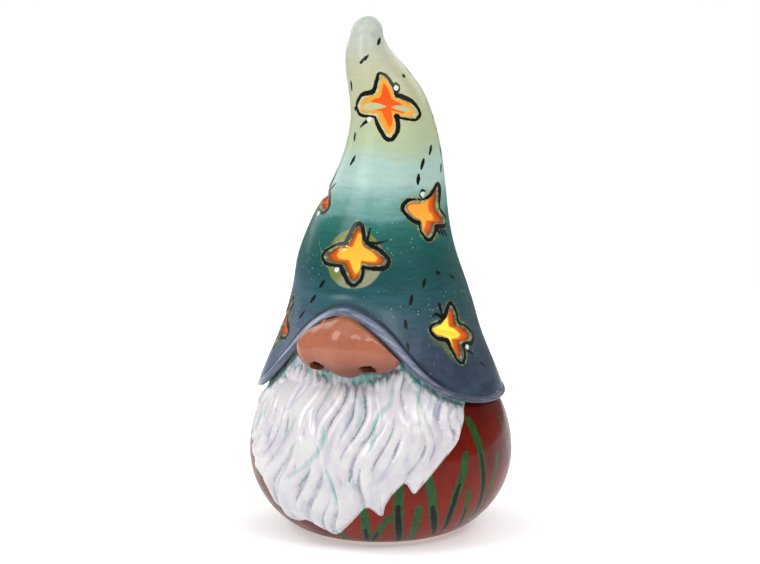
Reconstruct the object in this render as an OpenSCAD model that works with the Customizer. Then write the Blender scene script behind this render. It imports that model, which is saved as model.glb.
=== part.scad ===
// Tomte gnome lantern: a lidded ceramic pot with a beard and nose in relief, a
// pierced pointed hat that lifts off as the lid, and an LED tea light inside.
// Front is -Y, up is +Z, and the origin is the middle of the felt that the pot
// stands on.

/* [Overall] */
// Height from the table to the tip of the hat
total_h = 230; // [205:1:276]

/* [Pot] */
// Greatest radius of the pot, at its bulge
pot_r = 59; // [49:0.5:70]
// Height of the bulge above the foot
bulge_h = 35; // [30:0.5:42]
// Radius of the foot
foot_r = 33; // [28:0.5:39]
// Height of the dome over the bulge, if it closed at the top
dome_h = 56; // [50:0.5:67]
// Height of the pot's mouth, which the hat rests on
mouth_z = 79; // [75:0.5:84]
// Wall of the pot
pot_wall = 4.5; // [3.6:0.1:5.4]
// Thickness of the pot's floor
floor_t = 6; // [5:0.1:7.5]

/* [Felt] */
// Thickness of the felt disc under the pot
felt_t = 2; // [1.5:0.1:3]
// How far the felt stands below the foot
felt_proud = 0.6; // [0.3:0.1:1.2]
// Width of the foot ring left round the felt
foot_w = 4; // [3:0.1:6]

/* [Hat] */
// Wall of the hat
hat_wall = 4.5; // [3.6:0.1:5.4]
// Height of the brim's edge at the sides and back
brim_z = 62; // [56:0.5:66]
// How much higher the brim's edge is over the nose
notch_rise = 42.5; // [36:0.5:48]
// Angle over which the brim falls from the nose to the sides, in degrees
notch_angle = 40; // [34:1:46]
// Bearing of the brim's notch, a little off the front as a hand-made one is
notch_bearing = -1.5; // [-4:0.5:4]
// How far the brim stands out over the nose, like a visor
visor = 8; // [5:0.5:10]
// Bearing that the hat sways along, in degrees from +X
sway_bearing = 20; // [0:1:360]
// Thickness of the ledge inside the hat that rests on the pot
ledge_t = 3; // [2.5:0.1:4]

/* [Stars] */
// Radius of a low star window, from its middle to a point
star_r = 12; // [10:0.5:14]
// Radius of a star window between two points
star_waist = 5.8; // [4.8:0.1:7]

/* [Face] */
// Radius of the ball of the nose
nose_r = 13; // [11:0.5:15]
// Radius of each wing of the nose
wing_r = 9.8; // [8:0.1:11.5]
// Distance of a wing's middle from the middle of the face
wing_x = 12.6; // [10.5:0.1:15]
// Bearing of the nose, a little off the front
nose_bearing = 2; // [-4:0.5:4]
// How far the nose stands out from the face
nose_reach = 21; // [18:0.5:25]
// Radius of a nostril
nostril_r = 3.2; // [2.4:0.1:3.8]
// Thickness of the beard on the pot
beard_t = 4.2; // [3:0.1:5]

/* [Tea light] */
// Outer radius of the tea light's cup
cup_r = 18.5; // [17:0.1:21]
// Height of the cup
cup_h = 17; // [15:0.1:20]
// Wall of the cup
cup_wall = 1.2; // [0.9:0.1:1.6]
// Height of the flame over the cup's rim
flame_h = 19; // [16:0.5:24]
// Radius of the flame at its base
flame_r = 6; // [5:0.1:7.2]
// Radius of the coin cell
cell_r = 10; // [9:0.1:10.2]
// Thickness of the coin cell
cell_t = 3.2; // [2.5:0.1:3.2]
// Travel of the switch from on to off
switch_travel = 2.5; // [1.5:0.1:3]
// Turn that frees the battery door, in degrees
door_turn = 25; // [15:1:35]

/* [Fits] */
// Gap between the hat and the pot's collar and face
hat_gap = 1; // [0.6:0.1:1.5]
// Gap between the brim's edge and the pot
brim_gap = 0.8; // [0.5:0.1:1.5]
// Gap between the tea light's own loose pieces
small_gap = 0.2; // [0.1:0.05:0.3]

/* [Hidden] */

// ---- Pot: a superellipse from foot to bulge, then an ellipse up to the collar
foot_fullness = 1.5;
brim_edge_wall = 3.2;
pot_steps = 9;
foot_z = felt_proud;
bulge_z = foot_z + bulge_h;
floor_z = foot_z + floor_t;

function under_r(z) = foot_r
    + (pot_r - foot_r) * pow(1 - pow(1 - (z - foot_z) / bulge_h, 2), 1 / foot_fullness);
function over_r(z) = pot_r * sqrt(max(0, 1 - pow((z - bulge_z) / dome_h, 2)));
function pot_outer_r(z) = z < bulge_z ? under_r(z) : over_r(z);

// ---- Hat: [height, radius, sway], as shares of the hat's height, the brim's
// radius and the brim's radius
brim_r = pot_outer_r(brim_z) + brim_gap + brim_edge_wall;
hat_h = total_h - brim_z;
stations = [
    [0, 1, 0], [0.077, 0.915, 0], [0.167, 0.807, 0], [0.268, 0.711, 0],
    [0.375, 0.629, -0.025], [0.464, 0.546, -0.005], [0.554, 0.458, 0.049],
    [0.643, 0.389, 0.092], [0.732, 0.326, 0.094], [0.804, 0.291, 0.047],
    [0.863, 0.242, -0.029], [0.911, 0.177, -0.094], [0.952, 0.127, -0.110],
    [1, 0.094, -0.094]
];
tip_start = 0.952;
tip_share = 0.127;

function slope(i, k) = let (a = max(i - 1, 0), b = min(i + 1, len(stations) - 1))
    (stations[b][k] - stations[a][k]) / (stations[b][0] - stations[a][0]);
function station_below(h, i = 0) =
    i >= len(stations) - 2 || stations[i + 1][0] >= h ? i : station_below(h, i + 1);
function smooth_at(h, k) = let (
        i = station_below(h),
        d = stations[i + 1][0] - stations[i][0],
        t = (h - stations[i][0]) / d
    )
    stations[i][k] * (2 * pow(t, 3) - 3 * pow(t, 2) + 1)
    + slope(i, k) * d * (pow(t, 3) - 2 * pow(t, 2) + t)
    + stations[i + 1][k] * (3 * pow(t, 2) - 2 * pow(t, 3))
    + slope(i + 1, k) * d * (pow(t, 3) - pow(t, 2));
function share_at(h) = h < tip_start ? smooth_at(h, 1)
    : tip_share * sqrt(max(0, 1 - pow((h - tip_start) / (1 - tip_start), 2)));
function hat_r(z) = brim_r * share_at((z - brim_z) / hat_h);
function hat_sway(z) = brim_r * smooth_at((z - brim_z) / hat_h, 2)
    * [cos(sway_bearing), sin(sway_bearing)];

// The brim's edge rises over the nose, and the crest of its rolled lip is above it
visor_angle = 35;
visor_top_z = brim_z + notch_rise + 8;
lip_low = 3;
lip_extra = 4.2;
lip_angle = 28;
lip_spread = 14;
lip_setback = 1;

function off_notch(a) = abs(a - notch_bearing);
function edge_z(a) = brim_z + notch_rise * exp(-pow(off_notch(a) / notch_angle, 2));
function crest_z(a) = edge_z(a) + lip_low
    + lip_extra * exp(-pow((off_notch(a) - lip_angle) / lip_spread, 2));
function visor_share(a, z) = let (u = (z - edge_z(a)) / (visor_top_z - edge_z(a)))
    u < 1 ? exp(-pow(off_notch(a) / visor_angle, 2)) * pow(1 - max(u, 0), 2) : 0;
function hat_outer_r(a, z) = hat_r(z) + visor * visor_share(a, z);
function wall_at(a, z) = let (u = min(1, max(0, (z - edge_z(a)) / 12)))
    brim_edge_wall + (hat_wall - brim_edge_wall) * u;
function hat_inner_r(a, z) = hat_outer_r(a, z) - wall_at(a, z);

// A bearing of 0 is the front, and it grows towards +X
function at(a, r, z) = [r * sin(a) + hat_sway(z)[0], -r * cos(a) + hat_sway(z)[1], z];

hat_sides = 60;
brim_rows = 6;
inner_top_h = 0.93;
inner_cap = 0.55;
row_heights = [
    for (h = [0.30, 0.35, 0.40, 0.46, 0.52, 0.58, 0.64, 0.70, 0.76, 0.82, 0.87, 0.91]) h
];
tip_heights = [0.945, 0.97, 0.987, 0.997];
function bearings() = [for (i = [0:hat_sides - 1]) i * 360 / hat_sides - 180];
function brim_height(a, from_z, k) = from_z + (visor_top_z - from_z) * k / brim_rows;

inner_rings = [
    [for (a = bearings()) let (z = brim_z + hat_h * (inner_top_h + 0.02))
        at(a, (hat_r(brim_z + hat_h * inner_top_h) - hat_wall) * inner_cap, z)],
    for (k = [len(row_heights) - 1:-1:0]) let (z = brim_z + hat_h * row_heights[k])
        if (z > visor_top_z + 2) [for (a = bearings()) at(a, hat_r(z) - hat_wall, z)],
    for (k = [brim_rows:-1:0])
        [for (a = bearings()) let (z = brim_height(a, edge_z(a), k)) at(a, hat_inner_r(a, z), z)]
];
outer_rings = [
    [for (a = bearings()) at(a, hat_outer_r(a, crest_z(a)) - lip_setback, edge_z(a))],
    for (k = [0:brim_rows])
        [for (a = bearings()) let (z = brim_height(a, crest_z(a), k)) at(a, hat_outer_r(a, z), z)],
    for (h = concat(row_heights, tip_heights)) let (z = brim_z + hat_h * h)
        if (z > visor_top_z + 2) [for (a = bearings()) at(a, hat_r(z), z)]
];

// ---- Fits that follow from the hat's inside
collar_r = hat_inner_r(90, mouth_z) - hat_gap;
mouth_r = collar_r - pot_wall;
shoulder_z = bulge_z + dome_h * sqrt(1 - pow(collar_r / pot_r, 2));
seat_gap = 0.05;
seat_top_z = mouth_z + ledge_t;
face_overlap = 4;
beard_tuck = 4;
face_angle = 44;
face_rows = 8;
face_spare = 6;
face_top_z = brim_z + notch_rise - hat_gap;
ledge_gap_angle = face_angle + 6;
function face_r(z) = hat_r(z) - hat_wall - hat_gap;

// ---- Star windows: [bearing, share of the height above the low stars, turn, size]
low_star_z = seat_top_z + star_r - 1;
stars = [
    [13, 0.707, 4, 0.98], [2, 0.255, 6, 1], [66, 0.375, -14, 0.94], [66, 0, -4, 1.04],
    [-64, 0.415, -20, 0.9], [-62, 0, 10, 0.96], [127, 0.13, 15, 0.95],
    [-122, 0.12, -12, 0.95], [172, 0.42, 8, 0.88], [180, 0, -10, 0.92],
    [-112, 0.6, 14, 0.75], [112, 0.62, -8, 0.75]
];
star_depth = 10;
star_clear = 5;
tip_blunt = 0.14;
function star_outline(size) = [
    for (k = [0:3]) let (a = k * 90, tip = size * star_r, waist = size * star_waist)
        each [
            for (s = [-1, 0, 1])
                let (w = waist * sin(45) * tip_blunt * s, r = tip * (1 - tip_blunt * s * s))
                [r * cos(a) - w * sin(a), r * sin(a) + w * cos(a)],
            waist * [cos(a + 45), sin(a + 45)]
        ]
];
function hat_tilt(z) = atan2(hat_r(z - 2) - hat_r(z + 2), 4);

// ---- Nose
nose_z = edge_z(0) - brim_gap - nose_r;
nose_y = -(face_r(nose_z) + nose_reach - nose_r);
wing_y = nose_y + 3;
wing_z = nose_z - 2.2;
ball_fn = 32;
bridge_r = nose_r - 3;
bridge_x = 5.5;
bridge_up = 3.5;
nostril_z = wing_z - 1;
nostril_share = 0.92;
nostril_back = 2;
nostril_tilt = 120;

// ---- Beard outline: [share of the pot's radius from the middle, share of the
// height from the foot to the mouth]
beard_outline = [
    [0.30, 1.24], [0.80, 1.10], [0.785, 0.80], [0.81, 0.73], [0.80, 0.62], [0.72, 0.52],
    [0.62, 0.415], [0.555, 0.36], [0.51, 0.435], [0.405, 0.355], [0.35, 0.28], [0.325, 0.225],
    [0.23, 0.29], [0.07, 0.165], [-0.09, 0.06], [-0.19, 0.11], [-0.295, 0.155],
    [-0.385, 0.125], [-0.54, 0.205], [-0.605, 0.335], [-0.715, 0.42], [-0.795, 0.64],
    [-0.78, 0.835], [-0.80, 1.10], [-0.30, 1.24]
];

// ---- Tea light: heights are above the floor that it stands on
deck_t = 1.2;
deck_z = cup_h - deck_t - 1.2;
flame_rim_t = 0.8;
flame_wall = 1;
plate_z = 1.2;
plate_t = 1.5;
plate_top = plate_z + plate_t;
door_r = cell_r + 1.4;
door_top = plate_top + 1;
lug_t = 0.8;
lug_reach = 1.8;
lug_angle = 14;
slot_w = 1.6;
slot_deep = 0.8;
cell_z = door_top + 0.3;
cell_top = cell_z + cell_t;
strip_t = 0.3;
lead_t = 0.5;
lead_x = 1.27;
web_z = cell_top + 0.8;
web_t = 1.4;
led_z = web_z + web_t;
led_r = 2.5;
led_rim_r = 2.9;
led_rim_t = 1;
led_h = 8.6;
holder_gap = 0.4;
holder_r = cell_r + holder_gap;
holder_wall = 2;
rib_w = 1.6;
knob_w = 2.4;
knob_x = holder_r + holder_wall + 0.7 + knob_w / 2;
knob_low = 0.3;
knob_rim = 0.5;
knob_rim_t = 1;
knob_top = plate_top + 0.05 + knob_rim_t;
wiper_top = knob_top + strip_t;
touch_z = wiper_top + 0.05;
strip_w = 1.1;

$fn = 96;

// A closed solid through rings of points, with the first and last rings capped
module skin(rings) {
    n = len(rings[0]);
    polyhedron(
        points = [for (ring = rings) for (p = ring) p],
        faces = concat(
            [[for (i = [0:n - 1]) i]],
            [for (k = [0:len(rings) - 2]) for (i = [0:n - 1]) let (j = (i + 1) % n)
                each [[k * n + i, (k + 1) * n + i, (k + 1) * n + j],
                      [k * n + i, (k + 1) * n + j, k * n + j]]],
            [[for (i = [n - 1:-1:0]) (len(rings) - 1) * n + i]]
        ),
        convexity = 10
    );
}

module ring_band(r_in, r_out, z_low, z_high) {
    rotate_extrude() translate([r_in, z_low]) square([r_out - r_in, z_high - z_low]);
}

// Everything outside a radius and above the brim's edge, shifted up by rise. With
// no radius given it starts at the hat's inside, grown by the gap, so that a face
// cut by it clears the brim.
module brim_room(gap, rise = 0, radius = 0) {
    rows = 7;
    top_z = visor_top_z + 4;
    low_rise = rise - gap;
    function room_z(a, k) = k == 0 ? edge_z(a) + low_rise
        : edge_z(a) + rise + (top_z - edge_z(a)) * k / rows;
    function inner_r(a, z) = radius > 0 ? radius : hat_inner_r(a, max(z, edge_z(a))) - gap;
    function point(a, r, z) = [r * sin(a), -r * cos(a), z];
    rings = concat(
        [for (k = [0:rows]) [for (a = bearings()) let (z = room_z(a, k))
            point(a, inner_r(a, z), z)]],
        [for (k = [rows:-1:0]) [for (a = bearings()) point(a, pot_r + 15, room_z(a, k))]]
    );
    n = hat_sides;
    count = len(rings);
    polyhedron(
        points = [for (ring = rings) for (p = ring) p],
        faces = [for (k = [0:count - 1]) for (i = [0:n - 1])
            let (j = (i + 1) % n, m = (k + 1) % count)
            each [[k * n + i, k * n + j, m * n + j], [k * n + i, m * n + j, m * n + i]]],
        convexity = 10
    );
}

// Everything above the mouth at the bearings where the hat's ledge runs, widened by
// the gap, so that a beard that tucks under a low brim stays off the ledge
module ledge_room(gap) {
    start_angle = ledge_gap_angle - face_spare / 2;
    rotate([0, 0, -90 + start_angle]) rotate_extrude(angle = 360 - 2 * start_angle)
        translate([0, mouth_z - gap]) square([pot_r + 15, visor_top_z]);
}

// Outline of the pot's outside in section, from the foot to the mouth
slab_steps = 4;
function foot_side() = [for (k = [0:slab_steps])
    let (z = foot_z + floor_t * pow(k / slab_steps, 1.5)) [under_r(z), z]];
function wall_side() = concat(
    [for (k = [0:pot_steps]) let (z = floor_z + (bulge_z - floor_z) * k / pot_steps)
        [under_r(z), z]],
    [for (k = [1:pot_steps - 1]) let (z = bulge_z + (shoulder_z - bulge_z) * k / pot_steps)
        [over_r(z), z]],
    [[collar_r, shoulder_z], [collar_r, mouth_z]]
);
function pot_outside() = concat(foot_side(), wall_side());
function pot_inside() = concat(
    [[mouth_r, mouth_z], [mouth_r, shoulder_z - pot_wall * 0.4]],
    [for (k = [pot_steps - 1:-1:0]) let (z = floor_z + (shoulder_z - 2 - floor_z) * k / pot_steps)
        [max(mouth_r, pot_outer_r(z)) - (k == pot_steps - 1 ? 0 : pot_wall), z]]
);

// Front of the slab behind the nose in section, from the mouth up
function face_line() = [for (k = [0:face_rows])
    let (z = mouth_z + (face_top_z + face_spare - mouth_z) * k / face_rows) [face_r(z), z]];

// The pot with the face behind the nose, filled in and grown outwards
module face_filled(grow = 0) {
    rotate_extrude() polygon(concat([[0, foot_z]],
        [for (p = pot_outside()) [p[0] + grow, p[1]]],
        [for (k = [1:face_rows]) face_line()[k] + [grow, 0]],
        [[0, face_line()[face_rows][1]]]));
}

// The slab behind the nose, which rises into the hat and closes the brim's notch
module face_slab() {
    back = pot_wall - 0.6;
    low_z = mouth_z - 1;
    front_line = face_line();
    section = concat(front_line,
        [for (k = [face_rows:-1:0]) [front_line[k][0] - back, front_line[k][1]]]);
    arch = concat([[-collar_r, low_z]],
        [for (k = [-10:10]) let (a = face_angle * k / 10)
            [collar_r * sin(a), min(face_top_z, edge_z(a) + face_overlap)]],
        [[collar_r, low_z]]);
    color("firebrick") intersection() {
        rotate([0, 0, -90 - face_angle]) rotate_extrude(angle = 2 * face_angle) polygon(section);
        rotate([90, 0, 0]) linear_extrude(collar_r + 10) polygon(arch);
    }
}

// The thrown wall, which stands on the base slab
module pot() {
    color("firebrick") rotate_extrude() polygon(concat(wall_side(), pot_inside()));
}

module base_slab() {
    felt_r = foot_r - foot_w;
    color("firebrick") difference() {
        rotate_extrude() polygon(concat([[0, foot_z]], foot_side(), [[0, floor_z]]));
        translate([0, 0, foot_z - 1]) cylinder(r = felt_r, h = 1 + felt_t - felt_proud);
    }
}

module base_felt() {
    color("darkgreen") cylinder(r = foot_r - foot_w, h = felt_t);
}

// The nose's bulk: a ball, two wings and a bridge
module nose_bulk() {
    rotate([0, 0, nose_bearing]) hull() {
        translate([0, nose_y, nose_z]) sphere(r = nose_r, $fn = ball_fn);
        for (s = [-1, 1]) translate([s * wing_x, wing_y, wing_z]) sphere(r = wing_r, $fn = ball_fn);
        for (s = [-1, 1]) translate([s * bridge_x, wing_y + 2, nose_z + bridge_up])
            sphere(r = bridge_r, $fn = ball_fn);
        translate([0, wing_y + 12, nose_z - 2])
            rotate([90, 0, 0]) cylinder(r = nose_r, h = 2, $fn = ball_fn);
    }
}

module nose() {
    nostril_long = 14;
    color("peru") difference() {
        nose_bulk();
        face_filled();
        brim_room(brim_gap);
        for (s = [-1, 1]) rotate([0, 0, nose_bearing])
            translate([s * wing_x * nostril_share, wing_y + nostril_back, nostril_z])
                rotate([nostril_tilt, 0, 0]) cylinder(r = nostril_r, h = nostril_long);
    }
}

module beard() {
    span = mouth_z - foot_z;
    color("white") difference() {
        intersection() {
            face_filled(beard_t);
            rotate([90, 0, 0]) linear_extrude(pot_r + beard_t + 5)
                polygon([for (p = beard_outline) [p[0] * pot_r, foot_z + p[1] * span]]);
        }
        face_filled();
        nose_bulk();
        brim_room(brim_gap);
        brim_room(brim_gap, rise = beard_tuck, radius = collar_r / 2);
        ledge_room(brim_gap);
    }
}

module star_cutter(star) {
    z = low_star_z + star[1] * (total_h - low_star_z);
    centre = at(star[0], hat_r(z), z);
    translate(centre) rotate([0, 0, star[0]]) rotate([-hat_tilt(z), 0, 0])
        rotate([90, 0, 0]) translate([0, 0, -star_depth]) rotate([0, 0, star[2]])
            linear_extrude(star_depth + star_clear) polygon(star_outline(star[3]));
}

module hat() {
    ledge_in = mouth_r + 0.4;
    ledge_out = hat_inner_r(90, seat_top_z) + 1.8;
    color("teal") difference() {
        union() {
            skin(concat(inner_rings, outer_rings));
            rotate([0, 0, -90 + ledge_gap_angle])
                rotate_extrude(angle = 360 - 2 * ledge_gap_angle)
                    translate([ledge_in, mouth_z + seat_gap])
                        square([ledge_out - ledge_in, ledge_t - seat_gap]);
        }
        for (star = stars) star_cutter(star);
    }
}

module tealight_cup() {
    inner = cup_r - cup_wall;
    hole = flame_r + small_gap;
    color("ivory") translate([0, 0, floor_z]) rotate_extrude() polygon([
        [inner, 0], [cup_r - 0.4, 0], [cup_r, 0.4], [cup_r, cup_h - 0.6], [cup_r - 0.5, cup_h],
        [inner, cup_h], [inner - 0.6, deck_z + deck_t], [hole, deck_z + deck_t],
        [hole, deck_z], [inner, deck_z]
    ]);
}

// A hollow flame whose sides curve in to the tip
module tealight_flame() {
    steps = 10;
    low = deck_z - flame_rim_t;
    start = deck_z + deck_t;
    top = cup_h + flame_h;
    function flame_at(k, r) = r * pow(cos(90 * k / steps), 0.75);
    color("orange") translate([0, 0, floor_z]) rotate_extrude() polygon(concat(
        [[flame_r - flame_wall, low], [flame_r + 1.2, low], [flame_r + 1.2, deck_z],
         [flame_r, deck_z]],
        [for (k = [0:steps]) [k == steps ? 0 : flame_at(k, flame_r),
            start + (top - start) * k / steps]],
        [for (k = [steps:-1:0]) [k == steps ? 0 : flame_at(k, flame_r - flame_wall),
            start + (top - 2.5 - start) * k / steps]]
    ));
}

module led() {
    steps = 6;
    dome_z = led_z + led_h - led_r;
    color("lightyellow") translate([0, 0, floor_z]) rotate_extrude() polygon(concat(
        [[0, led_z], [led_rim_r, led_z], [led_rim_r, led_z + led_rim_t],
         [led_r, led_z + led_rim_t]],
        [for (k = [0:steps]) [k == steps ? 0 : led_r * cos(90 * k / steps),
            dome_z + led_r * sin(90 * k / steps)]]
    ));
}

// Two square leads: one drops to the cell's cap, the other runs to the switch
module led_leads() {
    far_x = knob_x + 0.2;
    low = cell_top + strip_t;
    color("silver") translate([0, -lead_t / 2, floor_z]) {
        for (s = [-1, 1]) translate([s * lead_x - lead_t / 2, 0, low])
            cube([lead_t, lead_t, led_z - low]);
        translate([lead_x - lead_t / 2, 0, low]) cube([far_x - lead_x, lead_t, lead_t]);
        translate([far_x - lead_t, 0, touch_z]) cube([lead_t, lead_t, low + lead_t - touch_z]);
    }
}

module cell_holder() {
    outer = holder_r + holder_wall;
    rib_out = cup_r - cup_wall - small_gap / 2;
    foot_in = door_r + lug_reach + 0.8;
    slot_y = 1.8;
    color("gainsboro") translate([0, 0, floor_z]) difference() {
        union() {
            ring_band(holder_r, outer, cell_z, led_z);
            ring_band(lead_x + 0.75, holder_r + 0.5, web_z, led_z);
            for (a = [60, 180, 300]) rotate([0, 0, a]) {
                translate([outer - 0.4, -rib_w / 2, cell_z])
                    cube([rib_out - outer + 0.4, rib_w, led_z - cell_z]);
                translate([foot_in, -rib_w / 2, plate_top])
                    cube([rib_out - foot_in, rib_w, led_z - plate_top]);
            }
        }
        translate([holder_r - 1, -slot_y, cell_z - 1])
            cube([holder_wall + 2, 2 * slot_y, web_z + 1 - cell_z]);
    }
}

// Can below, with the smaller cap on top
module coin_cell() {
    crimp = 0.3;
    cap_r = cell_r - 1.2;
    color("lightgray") translate([0, 0, floor_z]) rotate_extrude() polygon([
        [0, cell_z], [cell_r - 0.2, cell_z], [cell_r, cell_z + 0.2],
        [cell_r, cell_top - 2 * crimp], [cell_r - crimp, cell_top - crimp],
        [cap_r + 0.2, cell_top - crimp], [cap_r, cell_top], [0, cell_top]
    ]);
}

module contact_positive() {
    y_in = -lead_t - strip_w;
    color("gold") translate([cell_r, y_in, floor_z]) {
        translate([0, 0, touch_z]) cube([strip_t, strip_w, cell_t - 1]);
        translate([0, 0, touch_z]) cube([knob_x + 0.6 - cell_r, strip_w, strip_t]);
    }
}

module contact_negative() {
    strip_long = 8;
    color("gold") translate([0, 0, floor_z + cell_top])
        translate([-strip_long - 0.3, -1.5, 0]) cube([strip_long, 3, strip_t]);
}

// Disc inside the cup's foot, with the door's opening and the switch's slot
module base_plate() {
    reach = door_r + small_gap;
    color("ivory") translate([0, 0, floor_z]) difference() {
        translate([0, 0, plate_z]) cylinder(r = cup_r - cup_wall, h = plate_t);
        translate([0, 0, plate_z - 1]) cylinder(r = reach, h = plate_t + 2);
        for (a = [90, 270]) rotate([0, 0, a + door_turn - lug_angle - 2])
            rotate_extrude(angle = 2 * lug_angle + 4)
                translate([reach - 1, plate_z - 1]) square([lug_reach + 1, plate_t + 2]);
        translate([knob_x - knob_w / 2 - small_gap, -knob_w / 2 - small_gap, plate_z - 1])
            cube([knob_w + 2 * small_gap, knob_w + switch_travel + 2 * small_gap, plate_t + 2]);
    }
}

// Round door with two lugs that lock over the plate, and a slot for a coin
module battery_door() {
    lug_z = plate_top + 0.1;
    color("ivory") translate([0, 0, floor_z]) difference() {
        union() {
            translate([0, 0, plate_z]) cylinder(r = door_r, h = door_top - plate_z);
            for (a = [90, 270]) rotate([0, 0, a - lug_angle]) rotate_extrude(angle = 2 * lug_angle)
                translate([door_r - 1, lug_z]) square([lug_reach + 1 - small_gap, lug_t]);
        }
        translate([-6, -slot_w / 2, plate_z - 1]) cube([12, slot_w, 1 + slot_deep]);
    }
}

module switch_knob() {
    rim = knob_w + 2 * knob_rim;
    color("dimgray") translate([knob_x, 0, floor_z]) {
        translate([-knob_w / 2, -knob_w / 2, knob_low]) cube([knob_w, knob_w, knob_top - knob_low]);
        translate([-rim / 2, -rim / 2, plate_top + 0.05]) cube([rim, rim, knob_rim_t]);
    }
}

module switch_wiper() {
    color("gold") translate([knob_x - 0.9, -lead_t - strip_w, floor_z + knob_top])
        cube([1.8, strip_w + 2 * lead_t, strip_t]);
}

pot();
base_slab();
face_slab();
beard();
nose();
base_felt();
hat();
tealight_cup();
tealight_flame();
led();
led_leads();
cell_holder();
coin_cell();
contact_positive();
contact_negative();
base_plate();
battery_door();
switch_knob();
switch_wiper();
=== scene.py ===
"""Tomte gnome lantern in glazed ceramic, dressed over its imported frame.

Metres, front is -Y and up is +Z. Shapes are worked out in millimetres, as the maker's
drawing gives them, and put on the meshes in metres.
"""

import logging
import math
from dataclasses import dataclass, field
from enum import Enum

import bpy
import numpy as np
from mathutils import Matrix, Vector

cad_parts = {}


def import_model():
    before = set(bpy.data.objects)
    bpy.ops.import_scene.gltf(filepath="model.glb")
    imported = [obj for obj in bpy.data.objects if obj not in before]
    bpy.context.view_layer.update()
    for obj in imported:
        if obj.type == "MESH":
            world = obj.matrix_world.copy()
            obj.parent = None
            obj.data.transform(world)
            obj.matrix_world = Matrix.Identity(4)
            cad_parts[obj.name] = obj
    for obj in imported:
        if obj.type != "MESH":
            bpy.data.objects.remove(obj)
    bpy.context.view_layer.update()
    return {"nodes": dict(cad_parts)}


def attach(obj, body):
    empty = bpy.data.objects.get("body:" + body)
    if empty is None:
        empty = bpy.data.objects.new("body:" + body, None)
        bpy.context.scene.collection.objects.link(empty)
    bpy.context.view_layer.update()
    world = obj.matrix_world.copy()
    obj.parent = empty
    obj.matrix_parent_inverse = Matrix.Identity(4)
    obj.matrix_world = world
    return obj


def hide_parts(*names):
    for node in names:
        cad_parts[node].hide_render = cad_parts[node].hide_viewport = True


LOG = logging.getLogger("tomte")
MM = 0.001
Colour = tuple[float, float, float]
Array = np.ndarray
Object = bpy.types.Object
Material = bpy.types.Material
Socket = bpy.types.NodeSocket


def paint(red: int, green: int, blue: int) -> Colour:
    """Turn a paint chip's 0 to 255 values into linear light.

    Args:
        red: Red of the chip.
        green: Green of the chip.
        blue: Blue of the chip.

    Returns:
        The linear colour that shader sockets take.
    """
    return tuple(
        v / 12.92 if v <= 0.04045 else ((v + 0.055) / 1.055) ** 2.4
        for v in (red / 255, green / 255, blue / 255)
    )


def ease(x: Array, low: float, high: float) -> Array:
    """Rise smoothly from 0 at low to 1 at high.

    Args:
        x: Values to read.
        low: Where the rise starts.
        high: Where it ends.

    Returns:
        Values from 0 to 1.
    """
    t = np.clip((x - low) / (high - low), 0.0, 1.0)
    return t * t * (3 - 2 * t)


# --------------------------------------------------------------------------- shapes


@dataclass
class PotForm:
    """The thrown pot's outside in section, in millimetres."""

    radius: float = 59.0
    foot: float = 0.6
    bulge: float = 35.6
    foot_radius: float = 33.0
    dome: float = 56.0
    fullness: float = 1.5
    wall: float = 4.5
    floor: float = 6.6
    mouth: float = 79.0

    def outside(self, z: Array) -> Array:
        """Radius of the outside at each height."""
        u = np.clip((z - self.foot) / (self.bulge - self.foot), 0, 1)
        low = self.foot_radius + (self.radius - self.foot_radius) * (1 - (1 - u) ** 2) ** (
            1 / self.fullness
        )
        high = self.radius * np.sqrt(np.clip(1 - ((z - self.bulge) / self.dome) ** 2, 0, 1))
        return np.where(z < self.bulge, low, high)


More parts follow.
